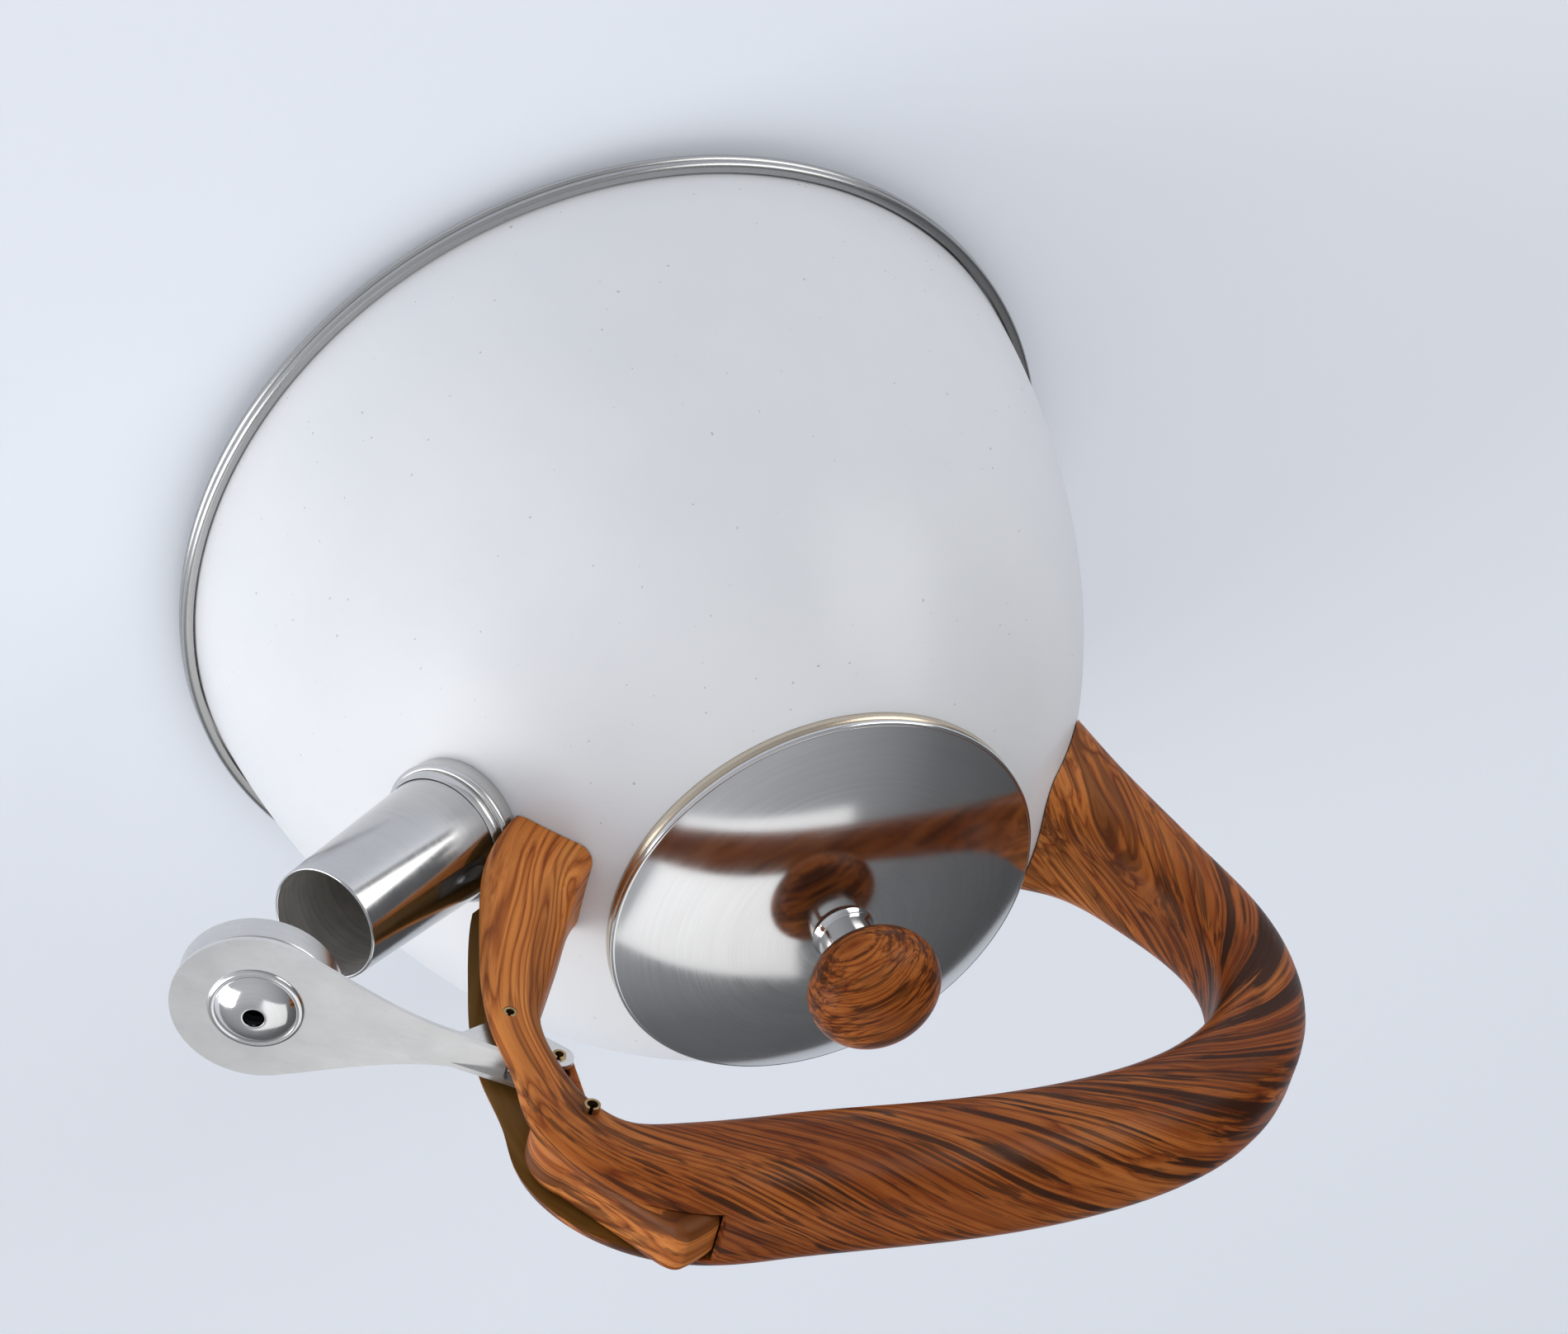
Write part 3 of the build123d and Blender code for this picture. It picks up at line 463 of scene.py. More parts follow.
class Nodes:
    """Short calls for the nodes of a tree."""

    def __init__(self, tree):
        self.tree = tree

    def node(self, kind, **sockets):
        node = self.tree.nodes.new(kind)
        for socket, value in sockets.items():
            self.feed(node.inputs[socket], value)
        return node

    def feed(self, socket, value):
        if isinstance(value, bpy.types.NodeSocket):
            self.tree.links.new(value, socket)
        else:
            socket.default_value = value

    def attribute(self, name):
        node = self.node("ShaderNodeAttribute")
        node.attribute_name = name
        return node.outputs["Vector"]

    def place(self):
        return self.node("ShaderNodeTexCoord").outputs["Object"]

    def scaled(self, vector, scale):
        node = self.node("ShaderNodeMapping", Vector=vector)
        node.inputs["Scale"].default_value = scale
        return node.outputs["Vector"]

    def noise(self, vector, scale=1.0, detail=3.0, roughness=0.55, distortion=0.0):
        node = self.node("ShaderNodeTexNoise", Vector=vector, Scale=scale, Detail=detail,
                         Roughness=roughness, Distortion=distortion)
        return node.outputs["Fac"]

    def math(self, operation, a, b=0.0):
        node = self.node("ShaderNodeMath")
        node.operation = operation
        self.feed(node.inputs[0], a)
        self.feed(node.inputs[1], b)
        return node.outputs[0]

    def spread(self, value, low, high, to_low, to_high):
        """Value moved from one range to another, held at its ends."""
        node = self.node("ShaderNodeMapRange")
        for socket, number in zip(node.inputs[:5], (value, low, high, to_low, to_high)):
            self.feed(socket, number)
        return node.outputs["Result"]

    def ramp(self, value, stops):
        """Colours blended by a value, as (position, colour) stops."""
        node = self.node("ShaderNodeValToRGB", Fac=value)
        marks = node.color_ramp.elements
        while len(marks) < len(stops):
            marks.new(0.5)
        for mark, (position, colour) in zip(marks, stops):
            mark.position = position
            mark.color = (*colour, 1.0)
        return node.outputs["Color"]

    def curve(self, value, stops):
        """Number from 0 to 1 that follows (place, number) stops in straight steps."""
        low = stops[0][0]
        high = stops[-1][0]
        share = self.spread(value, low, high, 0.0, 1.0)
        return self.ramp(share, [((place - low) / (high - low), (number,) * 3) for place, number in stops])

    def vector(self, operation, a, b):
        node = self.node("ShaderNodeVectorMath")
        node.operation = operation
        self.feed(node.inputs[0], a)
        self.feed(node.inputs["Scale"] if operation == "SCALE" else node.inputs[1], b)
        return node.outputs["Value" if operation in ("DISTANCE", "DOT_PRODUCT") else "Vector"]

    def mixed(self, amount, a, b, blend="MIX"):
        node = self.node("ShaderNodeMix")
        node.data_type = "RGBA"
        node.blend_type = blend
        self.feed(node.inputs[0], amount)
        for socket, colour in ((node.inputs[6], a), (node.inputs[7], b)):
            self.feed(socket, (*colour, 1.0) if isinstance(colour, tuple) else colour)
        return node.outputs[2]


class Finish(Nodes):
    """A material with one Principled shader."""

    def __init__(self, name, **sockets):
        self.material = bpy.data.materials.new(name)
        self.material.use_nodes = True
        super().__init__(self.material.node_tree)
        self.shader = self.tree.nodes["Principled BSDF"]
        self.set(**sockets)

    def set(self, **sockets):
        for socket, value in sockets.items():
            self.feed(self.shader.inputs[socket.replace("_", " ")], value)

    def bump(self, height, depth, strength=1.0):
        """Relief of a depth in millimetres."""
        node = self.node("ShaderNodeBump", Height=height, Distance=depth * MM, Strength=strength)
        self.set(Normal=node.outputs["Normal"])


# Finishes


def white_enamel():
    """Satin white enamel: slight orange peel, soft cloudiness and a few specks."""
    finish = Finish("white_enamel", Specular_IOR_Level=0.42, Coat_Weight=0.12, Coat_Roughness=0.2)
    place = finish.place()
    clouds = finish.noise(place, 24.0, 3.0)
    specks = finish.spread(finish.noise(place, 620.0, 1.0), 0.765, 0.8, 0.0, 0.55)
    white = finish.ramp(clouds, [(0.3, (0.79, 0.80, 0.815)), (0.7, (0.83, 0.835, 0.845))])
    finish.set(Base_Color=finish.mixed(specks, white, (0.33, 0.33, 0.34)))
    finish.set(Roughness=finish.spread(clouds, 0.25, 0.75, 0.33, 0.42))
    finish.bump(finish.noise(place, 330.0, 2.0), 0.03, 0.5)
    return finish.material


def black_enamel():
    """Glossy black enamel of the inside, with grey flecks."""
    finish = Finish("black_enamel", Specular_IOR_Level=0.4)
    place = finish.place()
    flecks = finish.spread(finish.noise(place, 520.0, 1.0), 0.7, 0.76, 0.0, 0.5)
    finish.set(Base_Color=finish.mixed(flecks, (0.006, 0.006, 0.007), (0.09, 0.09, 0.10)))
    finish.set(Roughness=finish.spread(finish.noise(place, 40.0), 0.3, 0.7, 0.2, 0.34))
    finish.bump(finish.noise(place, 300.0, 2.0), 0.03, 0.5)
    return finish.material


def turned_steel(name, light, dark, rough, lines, depth, bright=1.0):
    """Steel with fine lines round its axis, from polished to coarsely turned."""
    finish = Finish(name, Metallic=bright)
    lathe = finish.attribute("lathe")
    fine = finish.noise(finish.scaled(lathe, (lines, 0.6, 0.6)), 1.0, 4.0, 0.7)
    smears = finish.noise(finish.scaled(lathe, (0.12, 1.6, 1.6)), 1.0, 3.0)
    marks = finish.mixed(0.35, finish.ramp(fine, [(0.2, dark), (0.8, light)]),
                         finish.ramp(smears, [(0.3, dark), (0.7, light)]))
    finish.set(Base_Color=marks)
    both = finish.math("ADD", finish.math("MULTIPLY", fine, 0.5), finish.math("MULTIPLY", smears, 0.5))
    finish.set(Roughness=finish.spread(both, 0.25, 0.75, rough * 0.7, rough * 1.35))
    finish.bump(fine, depth, 0.6)
    return finish.material


def brushed_plate():
    """Stainless sheet with straight brushing along its length, a few scratches and near-black painted shade
    where it lies under the dome.
    """
    finish = Finish("brushed_plate", Metallic=1.0)
    grain = finish.attribute("grain")
    fine = finish.noise(finish.scaled(grain, (0.08, 3.2, 3.2)), 1.0, 4.0, 0.7)
    smears = finish.noise(finish.scaled(grain, (0.09, 0.14, 0.14)), 1.0, 3.0)
    scratch = finish.noise(finish.scaled(grain, (0.5, 2.6, 2.6)), 1.0, 1.0, 0.5, 1.5)
    light = finish.ramp(smears, [(0.3, (0.68, 0.672, 0.66)), (0.7, (0.77, 0.763, 0.75))])
    worn = finish.spread(scratch, 0.70, 0.76, 0.0, 0.35)
    light = finish.mixed(worn, light, (0.50, 0.49, 0.48))
    # Painted shade: the plate turns near black inside the dome's wall.
    away = finish.vector("DISTANCE", finish.scaled(grain, (1.0, 0.0, 1.0)), (head_reach, 0.0, 0.0))
    painted_shade_under_dome = finish.spread(away, DOME_R - 2 * DOME_T, DOME_R - DOME_T, 1.0, 0.0)
    finish.set(Base_Color=finish.mixed(painted_shade_under_dome, light, (0.012, 0.012, 0.012)))
    finish.set(Roughness=finish.spread(fine, 0.25, 0.75, 0.24, 0.40))
    finish.bump(fine, 0.008, 0.6)
    return finish.material


def plain_metal(name, light, dark, rough, grain=260.0):
    """Bare metal with fine blotches and a rubbed surface."""
    finish = Finish(name, Metallic=1.0)
    place = finish.place()
    blotch = finish.noise(place, grain, 4.0, 0.65)
    finish.set(Base_Color=finish.ramp(blotch, [(0.3, dark), (0.7, light)]))
    finish.set(Roughness=finish.spread(blotch, 0.25, 0.75, rough * 0.75, rough * 1.3))
    finish.bump(finish.noise(place, grain * 4, 2.0), 0.008, 0.5)
    return finish.material


def heat_disc_metal():
    """Aluminium disc with turning rings about the kettle's axis."""
    finish = Finish("heat_disc_metal", Metallic=1.0)
    place = finish.place()
    away = finish.vector("DISTANCE", finish.scaled(place, (1.0, 1.0, 0.0)), (0.0, 0.0, 0.0))
    rings = finish.noise(finish.scaled(away, (2600.0, 1.0, 1.0)), 1.0, 3.0, 0.7)
    stains = finish.noise(place, 38.0, 4.0)
    tone = finish.mixed(0.4, finish.ramp(rings, [(0.25, (0.42, 0.42, 0.42)), (0.75, (0.60, 0.60, 0.59))]),
                        finish.ramp(stains, [(0.35, (0.40, 0.39, 0.38)), (0.7, (0.62, 0.61, 0.60))]))
    finish.set(Base_Color=tone)
    finish.set(Roughness=finish.spread(rings, 0.25, 0.75, 0.3, 0.48))
    finish.bump(rings, 0.02, 0.6)
    return finish.material


def wood_print(name, tone, wander, ink):
    """Glossy plastic with a printed wood grain along the "grain" attribute.

    Tone runs from tan to red-brown, wander is how far lines stray and ink how dark the streaks are, each
    from 0 to 1 as (millimetres along the piece, number) stops.
    """
    finish = Finish(name, Specular_IOR_Level=0.12, Coat_Weight=0.02, Coat_Roughness=0.25)
    straight = finish.attribute("grain")
    along = finish.node("ShaderNodeSeparateXYZ", Vector=straight).outputs["X"]
    deep = finish.curve(along, tone)
    dark = finish.curve(along, ink)
    drift = finish.node("ShaderNodeTexNoise", Vector=finish.scaled(straight, (0.014, 0.05, 0.05)), Scale=1.0,
                        Detail=2.0, Roughness=0.5)
    stray = finish.vector("SUBTRACT", drift.outputs["Color"], (0.5, 0.5, 0.5))
    stray = finish.vector("MULTIPLY", stray, (0.0, 60.0, 60.0))
    stray = finish.vector("SCALE", stray, finish.curve(along, wander))
    grain = finish.vector("ADD", straight, stray)

    growth = finish.noise(finish.scaled(grain, (0.0024, 0.15, 0.15)), 1.0, 1.0, 0.4)
    rings = finish.math("FRACT", finish.math("MULTIPLY", growth, 11.0))
    threads = finish.noise(finish.scaled(grain, (0.016, 1.35, 1.35)), 1.0, 3.0, 0.62)
    streaks = finish.noise(finish.scaled(grain, (0.0042, 0.27, 0.27)), 1.0, 2.0, 0.55)
    lines = finish.noise(finish.scaled(grain, (0.0065, 0.66, 0.66)), 1.0, 2.0, 0.55)

    patch = drift.outputs["Fac"]
    tan = finish.ramp(patch, [(0.34, (0.56, 0.178, 0.036)), (0.52, (0.72, 0.250, 0.056)),
                              (0.70, (0.80, 0.315, 0.082))])
    red = finish.ramp(patch, [(0.34, (0.24, 0.060, 0.011)), (0.52, (0.37, 0.102, 0.019)),
                              (0.70, (0.50, 0.162, 0.036))])
    colour = finish.mixed(deep, tan, red)
    late = finish.ramp(rings, [(0.0, (0.40, 0.26, 0.18)), (0.10, (0.80, 0.70, 0.62)),
                               (0.30, (1.0, 1.0, 1.0)), (0.60, (0.97, 0.95, 0.92)),
                               (0.88, (0.58, 0.43, 0.33)), (1.0, (0.36, 0.23, 0.16))])
    colour = finish.mixed(0.85, colour, late, "MULTIPLY")
    fibres = finish.ramp(threads, [(0.30, (0.52, 0.40, 0.33)), (0.48, (0.95, 0.93, 0.91)),
                                   (0.72, (1.0, 1.0, 1.0))])
    colour = finish.mixed(0.85, colour, fibres, "MULTIPLY")
    torn = finish.math("MULTIPLY", finish.math("SUBTRACT", threads, 0.5), 0.24)
    broad = finish.spread(finish.math("ADD", streaks, torn), 0.525, 0.585, 0.0, 0.96)
    narrow = finish.spread(finish.math("ADD", lines, torn), 0.54, 0.61, 0.0, 0.8)
    amount = finish.math("MULTIPLY", finish.math("MAXIMUM", broad, narrow), dark)
    finish.set(Base_Color=finish.mixed(amount, colour, (0.030, 0.0095, 0.004)))
    finish.set(Roughness=finish.spread(threads, 0.3, 0.7, 0.48, 0.36))
    finish.bump(threads, 0.03, 0.5)
    return finish.material


def raw_plastic():
    """Mustard-brown plastic where the print thins out inside the channel."""
    finish = Finish("raw_plastic", Specular_IOR_Level=0.4)
    grain = finish.attribute("grain")
    streak = finish.noise(finish.scaled(grain, (0.02, 0.32, 0.32)), 1.0, 3.0, 0.6)
    finish.set(Base_Color=finish.ramp(streak, [(0.3, (0.16, 0.074, 0.013)), (0.55, (0.27, 0.135, 0.027)),
                                               (0.8, (0.34, 0.185, 0.042))]))
    finish.set(Roughness=finish.spread(streak, 0.3, 0.7, 0.34, 0.46))
    finish.bump(finish.noise(finish.place(), 900.0, 2.0), 0.02, 0.4)
    return finish.material


def steady(number):
    """Stops that hold one number all along a piece."""
    return [(0.0, number), (1.0, number)]


WHITE = white_enamel()
BLACK = black_enamel()
POLISHED = turned_steel("polished_steel", (0.70, 0.695, 0.69), (0.60, 0.595, 0.59), 0.13, 2.2, 0.002)
BRUSHED = turned_steel("brushed_steel", (0.70, 0.69, 0.675), (0.56, 0.55, 0.54), 0.24, 3.0, 0.006)
SPOUT_STEEL = turned_steel("spout_steel", (0.62, 0.615, 0.61), (0.50, 0.495, 0.49), 0.15, 3.0, 0.004)
TURNED = turned_steel("turned_steel", (0.78, 0.75, 0.70), (0.34, 0.325, 0.305), 0.42, 1.1, 0.04, 0.55)
TRIM = turned_steel("champagne_trim", (0.66, 0.57, 0.45), (0.47, 0.40, 0.31), 0.26, 3.0, 0.006)
SEAM = turned_steel("seam_steel", (0.52, 0.52, 0.51), (0.36, 0.36, 0.355), 0.25, 3.0, 0.006)
PLATE = brushed_plate()
BRASS = plain_metal("pin_brass", (0.50, 0.37, 0.19), (0.30, 0.20, 0.095), 0.34)
ZINC = plain_metal("plain_steel", (0.56, 0.56, 0.56), (0.40, 0.40, 0.40), 0.36)
SPRING_STEEL = plain_metal("spring_steel", (0.48, 0.48, 0.49), (0.30, 0.30, 0.31), 0.28, 420.0)
# Near-black metal used as painted shade on the whistle's inner faces, so its hole looks dark.
PAINTED_SHADE_METAL = plain_metal("painted_shade_dark_metal", (0.030, 0.029, 0.028), (0.012, 0.012, 0.012), 0.6)
DISC_METAL = heat_disc_metal()
HANDLE_WOOD = wood_print(
    "handle_wood",
    [(0.0, 0.0), (70.0, 0.10), (122.0, 1.0), (310.0, 1.0), (350.0, 0.45), (400.0, 0.35)],
    [(0.0, 0.22), (40.0, 0.12), (60.0, 0.03), (310.0, 0.04), (340.0, 0.30), (400.0, 0.35)],
    [(0.0, 0.08), (50.0, 0.35), (110.0, 0.9), (310.0, 1.0), (350.0, 0.6), (400.0, 0.55)],
)
TRIGGER_WOOD = wood_print("trigger_wood", steady(0.6), steady(0.05), steady(0.7))
KNOB_WOOD = wood_print("knob_wood", steady(0.75), steady(0.01), steady(0.8))
RAW = raw_plastic()


def dress(piece, body, slot, nodes, *finishes):
    """Give a piece its finishes and its body, and hide the CAD nodes that it stands for; the slot argument is
    not used.
    """
    marks = [min(face.material_index, len(finishes) - 1) for face in piece.data.polygons]
    piece.data.materials.clear()
    for finish in finishes:
        piece.data.materials.append(finish)
    piece.data.polygons.foreach_set("material_index", marks)
    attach(piece, body)
    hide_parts(*nodes)


# Body


def dome(shrink, top_z):
    """Profile of the wall from the floor up to a level."""
    a = BODY_R - shrink
    b = BODY_RISE - shrink
    foot = math.degrees(math.asin(BODY_SINK / b))
    top = math.degrees(math.asin((top_z - body_centre_z) / b))
    return ellipse((0, body_centre_z), a, b, foot, top)


def body_block(grow):
    """The body as a full solid, grown a little, to fit other pieces to it."""
    b = BODY_RISE + grow
    foot = math.degrees(math.asin(BODY_SINK / b))
    outline = ellipse((0, body_centre_z), BODY_R + grow, b, foot, 90, 96)[:-1]
    block = spin("body_block", outline + [(0, body_centre_z + b), (0, floor_top)], segments=240)
    for face in block.data.polygons:
        face.material_index = 1
    return block


def make_body():
    shell = spin("body_shell_enamel", dome(0.0, mouth_z) + dome(WALL, mouth_z)[::-1], segments=256)
    for face in shell.data.polygons:
        x, y, z = face.center / MM
        level = (z - body_centre_z) / (BODY_RISE - WALL / 2)
        inside = math.hypot(x, y) < (BODY_R - WALL / 2) * math.sqrt(max(0.0, 1 - level ** 2))
        face.material_index = int(inside)
    outline = circle((0, 0), SPOUT_ROOT_R + FIT, 96)
    hole = prism("hole", outline, spout_frame, -2 * SPOUT_INSIDE, 2 * SPOUT_INSIDE)
    combined(shell, [hole], "DIFFERENCE")
    dress(shell, "kettle", "enamel", ["body_shell"], WHITE, BLACK)


def make_seam_ring():
    inner = BODY_R + FIT
    low = DISC_T - SEAM_LIP_T
    lip_r = BODY_R - SEAM_LIP
    crest = inner + SEAM_BEAD
    waist = low + 2 * SEAM_BEAD
    top = low + 4 * SEAM_BEAD
    outline = [(lip_r, low)]
    outline += arc((crest, low), (crest + SEAM_BEAD, low + SEAM_BEAD), (crest, waist), 14)
    outline += arc((crest, waist), (crest + SEAM_BEAD, waist + SEAM_BEAD), (crest, top), 14)[1:]
    outline += [(inner, top), (inner, DISC_T), (lip_r, DISC_T)]
    dress(spin("seam_ring", outline, segments=256), "kettle", "polished_steel", ["base_seam_ring"], SEAM)


def make_mouth_ring():
    outer = MOUTH_R + MOUTH_RING_W
    sleeve_r = edge_r - FIT
    middle = mouth_z + MOUTH_RING_H / 2
    outline = [(MOUTH_R, mouth_z - MOUTH_SLEEVE)]
    outline += arc((MOUTH_R, middle), (MOUTH_R + MOUTH_RING_W / 2, ring_top), (outer, middle), 16)
    outline += [(outer, mouth_z), (sleeve_r, mouth_z), (sleeve_r, mouth_z - MOUTH_SLEEVE)]
    ring = spin("mouth_trim", softened(outline, MOUTH_RING_EDGE), segments=192)
    dress(ring, "kettle", "trim", ["mouth_ring"], TRIM)


def make_base():
    flat_r = DISC_R - DISC_EDGE
    inset = DISC_EDGE * 0.293
    edge = arc((flat_r, 0), (DISC_R - inset, inset), (DISC_R, DISC_EDGE), 8)
    outline = [(0, 0)] + edge + [(DISC_R, DISC_T), (0, DISC_T)]
    dress(spin("stove_disc", outline, segments=192), "kettle", "heat_disc", ["heat_disc"], DISC_METAL)


# Spout


def make_spout():
    lip = SPOUT_WALL / 2
    edge = SPOUT_LENGTH - lip
    bore = SPOUT_ROOT_R - SPOUT_WALL
    mouth_bore = SPOUT_MOUTH_R - SPOUT_WALL
    outline = [(SPOUT_ROOT_R, -SPOUT_INSIDE), (SPOUT_ROOT_R, COLLAR_HIGH_H)]
    outline += arc((SPOUT_MOUTH_R, edge), (SPOUT_MOUTH_R - lip, SPOUT_LENGTH), (mouth_bore, edge), 8)
    outline += [(bore, COLLAR_HIGH_H), (bore, -SPOUT_INSIDE)]
    spout = spin("spout_steel", outline, spout_frame, 128)
    taper = (SPOUT_ROOT_R - SPOUT_MOUTH_R) / (SPOUT_LENGTH - COLLAR_HIGH_H)
    for face, reach, radius in faces_about(spout, spout_frame):
        wall = SPOUT_ROOT_R - taper * max(0.0, reach - COLLAR_HIGH_H)
        inside = radius < wall - 0.7 * SPOUT_WALL and reach < SPOUT_LENGTH - SPOUT_WALL
        face.material_index = int(inside)
    dress(spout, "kettle", "brushed_steel", ["spout_tube"], SPOUT_STEEL, TURNED)


def make_collar():
    bore = SPOUT_ROOT_R + FIT
    upper = COLLAR_R - COLLAR_STEP
    step = COLLAR_LOW_H
    low_bead = step / 4
    high_bead = (COLLAR_HIGH_H - step) / 2
    outline = [(bore, -SPOUT_INSIDE), (COLLAR_R, -SPOUT_INSIDE)]
    outline += arc((COLLAR_R, step - 2 * low_bead), (COLLAR_R + low_bead / 2, step - low_bead), (upper, step))
    outline += arc((upper, step), (upper + high_bead / 4, step + high_bead), (bore, COLLAR_HIGH_H))[1:]
    collar = spin("collar_steel", outline, spout_frame, 128)
    combined(collar, [body_block(FIT)], "DIFFERENCE")
    add_lathe(collar, spout_frame)
    dress(collar, "kettle", "polished_steel", ["spout_collar"], BRUSHED)


def add_lathe(piece, place):
    """Turning coordinates for a piece that was cut after it was spun."""
    old = piece.data.attributes.get("lathe")
    if old:
        piece.data.attributes.remove(old)
    inverse = place.inverted()
    values = []
    for point in points_of(piece):
        x, y, z = inverse @ Vector(point)
        radius = max(math.hypot(x, y), 1e-6)
        values.append((z - radius, x / radius, y / radius))
    set_attribute(piece, "lathe", values)


# Handle: rounded sections (centre, depth, width, corner, web) along the arch, from front foot to rear foot


def handle_sections():
    x, z = front_foot
    back_x, back_z = rear_foot
    return [
        (turned(front_foot, FRONT_FOOT_ANGLE, -9), 22, 25, 4.0, 11),
        (turned(front_foot, FRONT_FOOT_ANGLE, 4), 22, 24, 4.5, 11),
        ((x + 11.5, z + 17.5), 20.5, 22, 5.0, 9.5),
        ((pivot[0] - 8.4, pivot[1] - 18), 16.5, 20.5, 4.5, 6),
        ((pivot[0] - 1.1, pivot[1] + 2), 11.5, 19, 3.5, 3),
        ((hub[0] + 5.2, hub[1] - 14), 12.5, 19, 4.0, 3),
        ((hub[0] + 4.2, hub[1] - 1.5), 17.5, 21, 5.5, 2),
        ((hub[0] - 2.2, hub[1] + 9.6), 21, 23.5, 7.5, 3),
        ((hub[0] - 16.5, hub[1] + 16.2), 26.5, 26, 9.5, 8),
        ((44, grip_z - 0.2), 28, 27.5, 11, 0),
        ((8, grip_z + 0.6), 28, 28, 11.5, 0),
        ((-30, grip_z - 2), 27, 28, 11.5, 0),
        ((back_x + 7.5, grip_z - 11.5), 25, 27, 10.5, 0),
        ((back_x - 15, grip_z - 31), 21, 25, 8.5, 0),
        ((back_x - 21.5, back_z + 52), 18.5, 24.5, 7.0, 0),
        ((back_x - 15, back_z + 29), 20, 26.5, 7.0, 0),
        (turned(rear_foot, REAR_FOOT_ANGLE, -10), 26, 30.5, 7.5, 0),
        (turned(rear_foot, REAR_FOOT_ANGLE, 3), 34, 35, 8.0, 0),
        (turned(rear_foot, REAR_FOOT_ANGLE, 16), 42, 39, 8.5, 0),
    ]


SECTIONS = handle_sections()
arch_points = np.array([s[0] for s in SECTIONS])
arch_marks = np.concatenate(([0.0], np.cumsum(np.linalg.norm(np.diff(arch_points, axis=0), axis=1))))


def natural_spline(marks, values, at):
    """Smooth curve through values at marks, straight at its ends."""
    gaps = np.diff(marks)
    count = len(marks)
    table = np.eye(count)
    right = np.zeros((count, values.shape[1]))
    for k in range(1, count - 1):
        table[k, k - 1:k + 2] = gaps[k - 1], 2 * (gaps[k - 1] + gaps[k]), gaps[k]
        right[k] = 6 * ((values[k + 1] - values[k]) / gaps[k] - (values[k] - values[k - 1]) / gaps[k - 1])
    bend = np.linalg.solve(table, right)
    k = np.clip(np.searchsorted(marks, at) - 1, 0, count - 2)
    a = ((marks[k + 1] - at) / gaps[k])[:, None]
    b = 1 - a
    curve = ((a ** 3 - a) * bend[k] + (b ** 3 - b) * bend[k + 1]) * (gaps[k] ** 2)[:, None] / 6
    return a * values[k] + b * values[k + 1] + curve


def eased(values, at):
    """Value along the arch on a smooth curve through the sections' values, without overshoot at ends."""
    values = np.array(values, float)
    slopes = np.gradient(values, arch_marks)
    k = np.clip(np.searchsorted(arch_marks, at) - 1, 0, len(arch_marks) - 2)
    span = arch_marks[k + 1] - arch_marks[k]
    t = (at - arch_marks[k]) / span
    start = (1 + 2 * t) * (1 - t) ** 2 * values[k] + t * (1 - t) ** 2 * span * slopes[k]
    return start + t ** 2 * (3 - 2 * t) * values[k + 1] + t ** 2 * (t - 1) * span * slopes[k + 1]


ARCH_SLICES = 260
slice_marks = np.linspace(0, arch_marks[-1], ARCH_SLICES + 1)
slice_points = natural_spline(arch_marks, arch_points, slice_marks)
slice_leans = np.gradient(slice_points, axis=0)
slice_headings = np.degrees(np.arctan2(slice_leans[:, 1], slice_leans[:, 0]))

# Lie of the wood print on the three printed pieces
TWIST_FROM = 96.0
TWIST_EASE = 40.0
TWIST_RUN = 300.0
TWIST_RATE = 0.042
TRIGGER_GRAIN_R = 0.7 * TIP_R
TRIGGER_GRAIN_AT = (300.0, 0.0, 40.0)
KNOB_GRAIN_ANGLE = 38.0
KNOB_GRAIN_AT = (655.0, 0.0, 120.0)


def rounded_rectangle(width, depth, corner, corner_steps=7, side_steps=3):
    bends = []
    for k, (x, y) in enumerate(((1, 1), (-1, 1), (-1, -1), (1, -1))):
        centre = (x * (width / 2 - corner), y * (depth / 2 - corner))
        bends.append(ellipse(centre, corner, corner, 90 * k, 90 * k + 90, corner_steps))
    points = []
    for bend, following in zip(bends, bends[1:] + bends[:1]):
        end = Vector(bend[-1])
        points += bend + [tuple(end.lerp(Vector(following[0]), i / side_steps)) for i in range(1, side_steps)]
    return points


def handle_arch():
    """The whole arch as one closed skin."""
    depths, widths, corners = (eased([s[k] for s in SECTIONS], slice_marks) for k in (1, 2, 3))
    rings = []
    for point, heading, depth, width, corner in zip(slice_points, slice_headings, depths, widths, corners):
        place = square_frame(point, heading)
        rings.append([place @ Vector((x, y, 0)) for x, y in rounded_rectangle(width, depth, corner)])
    return skinned("handle_print", rings)


def sector(radius, start, end, steps=40):
    angles = [start + (end - start) * k / steps for k in range(steps + 1)]
    return [hub] + [turned(hub, a, radius) for a in angles]


def channel_tools():
    """Tools for the space in the front leg that holds the lever and the trigger."""
    floor = []
    outside = []
    headings = np.interp(arch_marks, slice_marks, np.unwrap(slice_headings, period=360))
    for (at, depth, width, corner, web), heading in list(zip(SECTIONS, headings))[1:]:
        if web:
            floor.append(turned(at, heading, 0, depth / 2 - web))
            outside.append(turned(at, heading, 0, -depth))
    low = pivot[1] - WINDOW_BELOW
    high = hub[1] - WINDOW_ABOVE
    left = hub[0] - 3 * HUB_R
    right = hub[0] + 3 * HUB_R
    pocket_end = tail_angle + trigger_turn + TAIL_RUN_ANGLE
    past_handle = TIP_R + SPOUT_LENGTH
    outlines = [
        (floor + outside[::-1], 1),
        (sector(past_handle, POCKET_START_ANGLE, LIP_ANGLE), 0),
        (sector(TIP_R + RUN, LIP_ANGLE - POCKET_OVERLAP_ANGLE, pocket_end), 1),
        (circle(hub, HUB_R + RUN), 1),
        ([(left, low), (right, low), (right, high), (left, high)], 1),
    ]
    return [prism("tool", outline, handle_plane, -channel_half, channel_half, finish)
            for outline, finish in outlines]


def pin_tool(point, radius):
    return prism("tool", circle(point, radius), handle_plane, -2 * TRIGGER_W, 2 * TRIGGER_W, 1)


